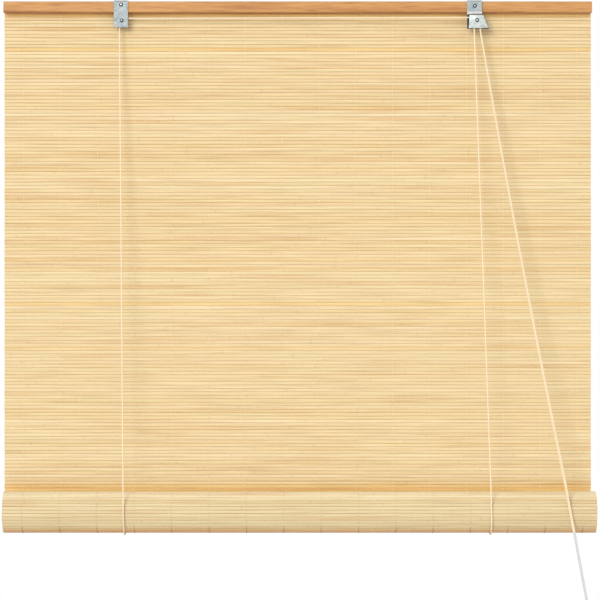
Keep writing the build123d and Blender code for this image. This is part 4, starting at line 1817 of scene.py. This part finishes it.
@dataclass
class WarpThreads:
    """The cotton warp lines that hold the slats together."""

    draw: np.random.Generator
    mat: HangingMat
    lines: int = 16
    first_x: float = -0.3735
    line_pitch: float = 0.0503
    side_play: float = 0.0004
    tones: Span = (0.3, 1.0)

    def places(self) -> list[float]:
        """Where the lines are along the blind."""
        return [self.first_x + number * self.line_pitch for number in range(self.lines)]

    def build_side(self, name: str, face: int, shelf: Shelf) -> bpy.types.Object:
        """Make the stitches on one side of the hanging mat.

        Args:
            name: The piece's name.
            face: 1 for the room side, -1 for the wall side.
            shelf: The finishes.

        Returns:
            The piece.
        """
        depth = self.mat.high.y - self.mat.low.y
        copies = Copies(Stitch(self.mat.pitch, depth).model())
        middle = (self.mat.low.y + self.mat.high.y) / 2
        for place in self.places():
            for number in range(self.mat.count):
                height = self.mat.high.z - (number + 0.5) * self.mat.pitch
                lean = self.draw.uniform(-self.side_play, self.side_play)
                x, y, z = copies.pattern.T
                points = np.stack([
                    place + x + lean * z / self.mat.pitch * 2
                    + self.draw.uniform(-1, 1) * self.side_play / 2,
                    middle + y * face,
                    height + z * face,
                ], axis=1)
                copies.add(points, self.draw.uniform(*self.tones))
        stitches = copies.gather(name)
        dress(stitches, shelf.warp)
        smooth(stitches, THREAD_SMOOTH_BELOW)
        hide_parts("hanging_warp_threads")
        hang_from_rail(stitches)
        return stitches

    def build(self, shelf: Shelf) -> None:
        """Make both sides."""
        self.build_side("front_warp_stitches", 1, shelf)
        self.build_side("back_warp_stitches", -1, shelf)


# ---------------------------------------------------------------- roll

@dataclass
class Roll:
    """The wound part of the mat: slats laid along a spiral, and the warp stitches on its outer turn."""

    draw: np.random.Generator
    warp: WarpThreads
    outer_radius: float = 0.0294
    inner_radius: float = 0.0106
    band: float = 0.0018
    turn_pitch: float = 0.00236
    chord: float = 0.0047
    end_angle: float = 14.0
    gap: float = 0.0001
    end_play: float = 0.0006
    thickness: Span = (0.9, 1.0)
    plain_tones: Span = (0.22, 0.75)
    # Paler tones on top of the roll: painted light.
    lit_top_tones: Span = (0.78, 1.0)
    stitch_tone: float = 0.27
    # Where the painted light on top and the painted shade underneath fall, in degrees round the axis.
    lit_topside: Span = (90.0, 134.0)
    underside: Span = (-138.0, -92.0)
    darkest_beyond: float = 30.0
    low: Vector = field(init=False)
    high: Vector = field(init=False)
    axis: Span = field(init=False)

    def __post_init__(self) -> None:
        """Take the roll's ends and axis from the frame."""
        self.low, self.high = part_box("rolled_mat")
        self.axis = tuple(joint("roll_turn")["pos_m"][1:])

    def corners(self) -> np.ndarray:
        """Work out the spiral's corners, from its outer end at the back.

        Returns:
            Each corner's place across the roll, one row each.
        """
        angle = math.radians(self.end_angle)
        radius = self.outer_radius - self.band / 2
        places = []
        while radius > self.inner_radius:
            places.append((radius * math.cos(angle), radius * math.sin(angle)))
            step = self.chord / radius
            angle -= step
            radius -= self.turn_pitch * step / math.tau
        return np.array(places) + self.axis

    def lay(self, start: np.ndarray, end: np.ndarray, height: np.ndarray, out: np.ndarray) -> np.ndarray:
        """Lay a flat piece along one side of the spiral.

        Args:
            start: The side's outer corner.
            end: Its inner corner.
            height: Each point's share of the way from start to end.
            out: How far each point is outside the side.

        Returns:
            The points' places across the roll, one row each.
        """
        way = end - start
        outward = np.array([-way[1], way[0]]) / np.linalg.norm(way)
        return start + height[:, None] * way + out[:, None] * outward

    def tone(self, number: int, corner: np.ndarray) -> float:
        """A wound slat's tone: plain, paler on top as painted light, and darker under the front of the outer
        turn as painted shade.

        Args:
            number: Which slat, from the outer end.
            corner: The slat's outer corner.

        Returns:
            Its tone.
        """
        y, z = corner - self.axis
        angle = math.degrees(math.atan2(z, y))
        # Painted shade under the front of the outer turn, darkest beyond its lower end; painted light on
        # top.
        first, last = self.underside
        if number < self.outer_turn and first < angle < last + self.darkest_beyond:
            return self.plain_tones[0] * max(0.0, (last - angle) / (last - first))
        on_top = self.lit_topside[0] < angle < self.lit_topside[1]
        return self.draw.uniform(*(self.lit_top_tones if on_top else self.plain_tones))

    @property
    def outer_turn(self) -> int:
        """How many slats the outer turn has."""
        return math.ceil(math.tau * self.outer_radius / self.chord)

    def build_slats(self, shelf: Shelf) -> bpy.types.Object:
        """Make all the wound slats as one piece.

        Args:
            shelf: The finishes.

        Returns:
            The piece.
        """
        length = self.high.x - self.low.x
        middle = (self.low.x + self.high.x) / 2
        pattern = SlatPattern(length, self.band, self.chord)
        copies = Copies(pattern.model(), mirrored=True)
        edge = pattern.edge(copies.pattern)
        corners = self.corners()
        seams = Seams(len(corners), length, self.draw)
        x, y, z = copies.pattern.T
        share = 0.5 - z / self.chord
        for number in range(len(corners) - 1):
            side = float(np.linalg.norm(corners[number + 1] - corners[number]))
            first = (seams.at(number, x) + self.gap / 2) / side
            last = 1 + (seams.at(number + 1, x) - self.gap / 2) / side
            across = self.lay(corners[number], corners[number + 1], first + share * (last - first),
                              -y * self.draw.uniform(*self.thickness))
            ends = self.draw.uniform(-self.end_play, 0.0, 2)
            along = middle + x + end_shift(x, length, ends)
            copies.add(np.column_stack([along, across]), self.tone(number, corners[number]))
        slats = copies.gather("rolled_bamboo_slats", edge)
        dress(slats, shelf.rolled_bamboo)
        smooth(slats, SMOOTH_BELOW)
        keep_faces_flat(slats)
        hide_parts("rolled_mat")
        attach(slats, "roll")
        return slats

    def build_stitches(self, shelf: Shelf) -> bpy.types.Object:
        """Make the warp stitches on the outer turn.

        Args:
            shelf: The finishes.

        Returns:
            The piece.
        """
        copies = Copies(Stitch(self.chord, self.band).model(), mirrored=True)
        corners = self.corners()
        x, y, z = copies.pattern.T
        drift = (self.low.x + self.high.x) / 2
        for place in self.warp.places():
            for number in range(self.outer_turn):
                across = self.lay(corners[number], corners[number + 1], 0.5 - z / self.chord, -y)
                lean = self.draw.uniform(-1, 1) * self.warp.side_play * z / self.chord
                # Stitches under the front of the outer turn take the slats' painted shade.
                tone = min(self.stitch_tone, self.tone(number, corners[number]))
                copies.add(np.column_stack([place + drift + x + lean, across]), tone)
        stitches = copies.gather("roll_warp_stitches")
        dress(stitches, shelf.warp)
        smooth(stitches, THREAD_SMOOTH_BELOW)
        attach(stitches, "roll")
        return stitches

    def build(self, shelf: Shelf) -> None:
        """Make the roll.

        Args:
            shelf: The finishes.
        """
        self.build_slats(shelf)
        self.build_stitches(shelf)
        dress(frame["nodes"]["bottom_rail"], shelf.rail_wood)


# ---------------------------------------------------------------- hardware

@dataclass
class PressedSheet:
    """A folded steel part, welded from its CAD node, with its sheared edges rounded unless edge is 0."""

    node: str
    edge: float = 0.00028
    weld: float = 0.00005
    flat: float = 2.0
    sharp: float = 50.0
    steps: int = 2

    def build(self, finish: bpy.types.Material) -> bpy.types.Object:
        """Make the part.

        Args:
            finish: Its material.

        Returns:
            The part.
        """
        source = frame["nodes"][self.node]
        part = source.copy()
        part.data = source.data.copy()
        part.name = f"{self.node}_pressed"
        part.parent = None
        bpy.context.collection.objects.link(part)
        with editing(part):
            bpy.ops.mesh.select_all(action="SELECT")
            bpy.ops.mesh.remove_doubles(threshold=self.weld)
            bpy.ops.mesh.dissolve_limited(angle_limit=math.radians(self.flat))
        smooth(part, SMOOTH_BELOW)
        if self.edge:
            self.round_edges(part)
        keep_faces_flat(part)
        dress(part, finish)
        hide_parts(self.node)
        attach(part, "headrail")
        return part

    def round_edges(self, part: bpy.types.Object) -> None:
        """Round the sheared edges over.

        Args:
            part: The part, selected and active.
        """
        bevel = part.modifiers.new("rounded_edges", "BEVEL")
        bevel.width = self.edge
        bevel.segments = self.steps
        bevel.use_clamp_overlap = False
        bevel.limit_method = "ANGLE"
        bevel.angle_limit = math.radians(self.sharp)
        bpy.ops.object.modifier_apply(modifier=bevel.name)


class Hardware:
    """The steel, brass and wood parts of the frame, each given its finish."""

    PINS = ("lock_pin", "batten_nails")
    BRASS = ("left_pulley", "rear_lock_pulley", "front_lock_pulley", "lock_roller")
    RAILS = ("front_batten", "rear_batten")

    def build(self, shelf: Shelf) -> None:
        """Dress the nodes.

        Args:
            shelf: The finishes.
        """
        finishes = (
            (("cord_anchor_eyes",), shelf.steel),
            (self.PINS, shelf.rivet),
            (self.BRASS, shelf.brass),
            (self.RAILS, shelf.rail_wood),
            (("mat_head_slats",), shelf.bamboo),
            (("pull_knob",), shelf.knob),
        )
        for names, finish in finishes:
            for name in names:
                dress(frame["nodes"][name], finish)
        for node, finish in shelf.heads.items():
            dress(frame["nodes"][node], finish)
        PressedSheet("left_bracket").build(shelf.steel)
        PressedSheet("right_bracket").build(shelf.lipped_steel)
        PressedSheet("lock_housing", edge=0.0).build(shelf.lock_steel)


# ---------------------------------------------------------------- making

def main() -> None:
    """Build everything in order."""
    logging.basicConfig(level=logging.INFO, format="%(name)s: %(message)s")
    studio = Studio()
    studio.place_camera()
    shelf = Shelf()
    LiftCords().build(shelf)
    LOG.info("cords are in place")
    draw = np.random.default_rng(SEED)
    mat = HangingMat(draw)
    mat.build(shelf)
    warp = WarpThreads(draw, mat)
    warp.build(shelf)
    LOG.info("hanging mat has %d slats and %d warp lines", mat.count, warp.lines)
    Roll(draw, warp).build(shelf)
    LOG.info("roll is wound")
    Hardware().build(shelf)
    studio.build()


if __name__ == "__main__":
    main()
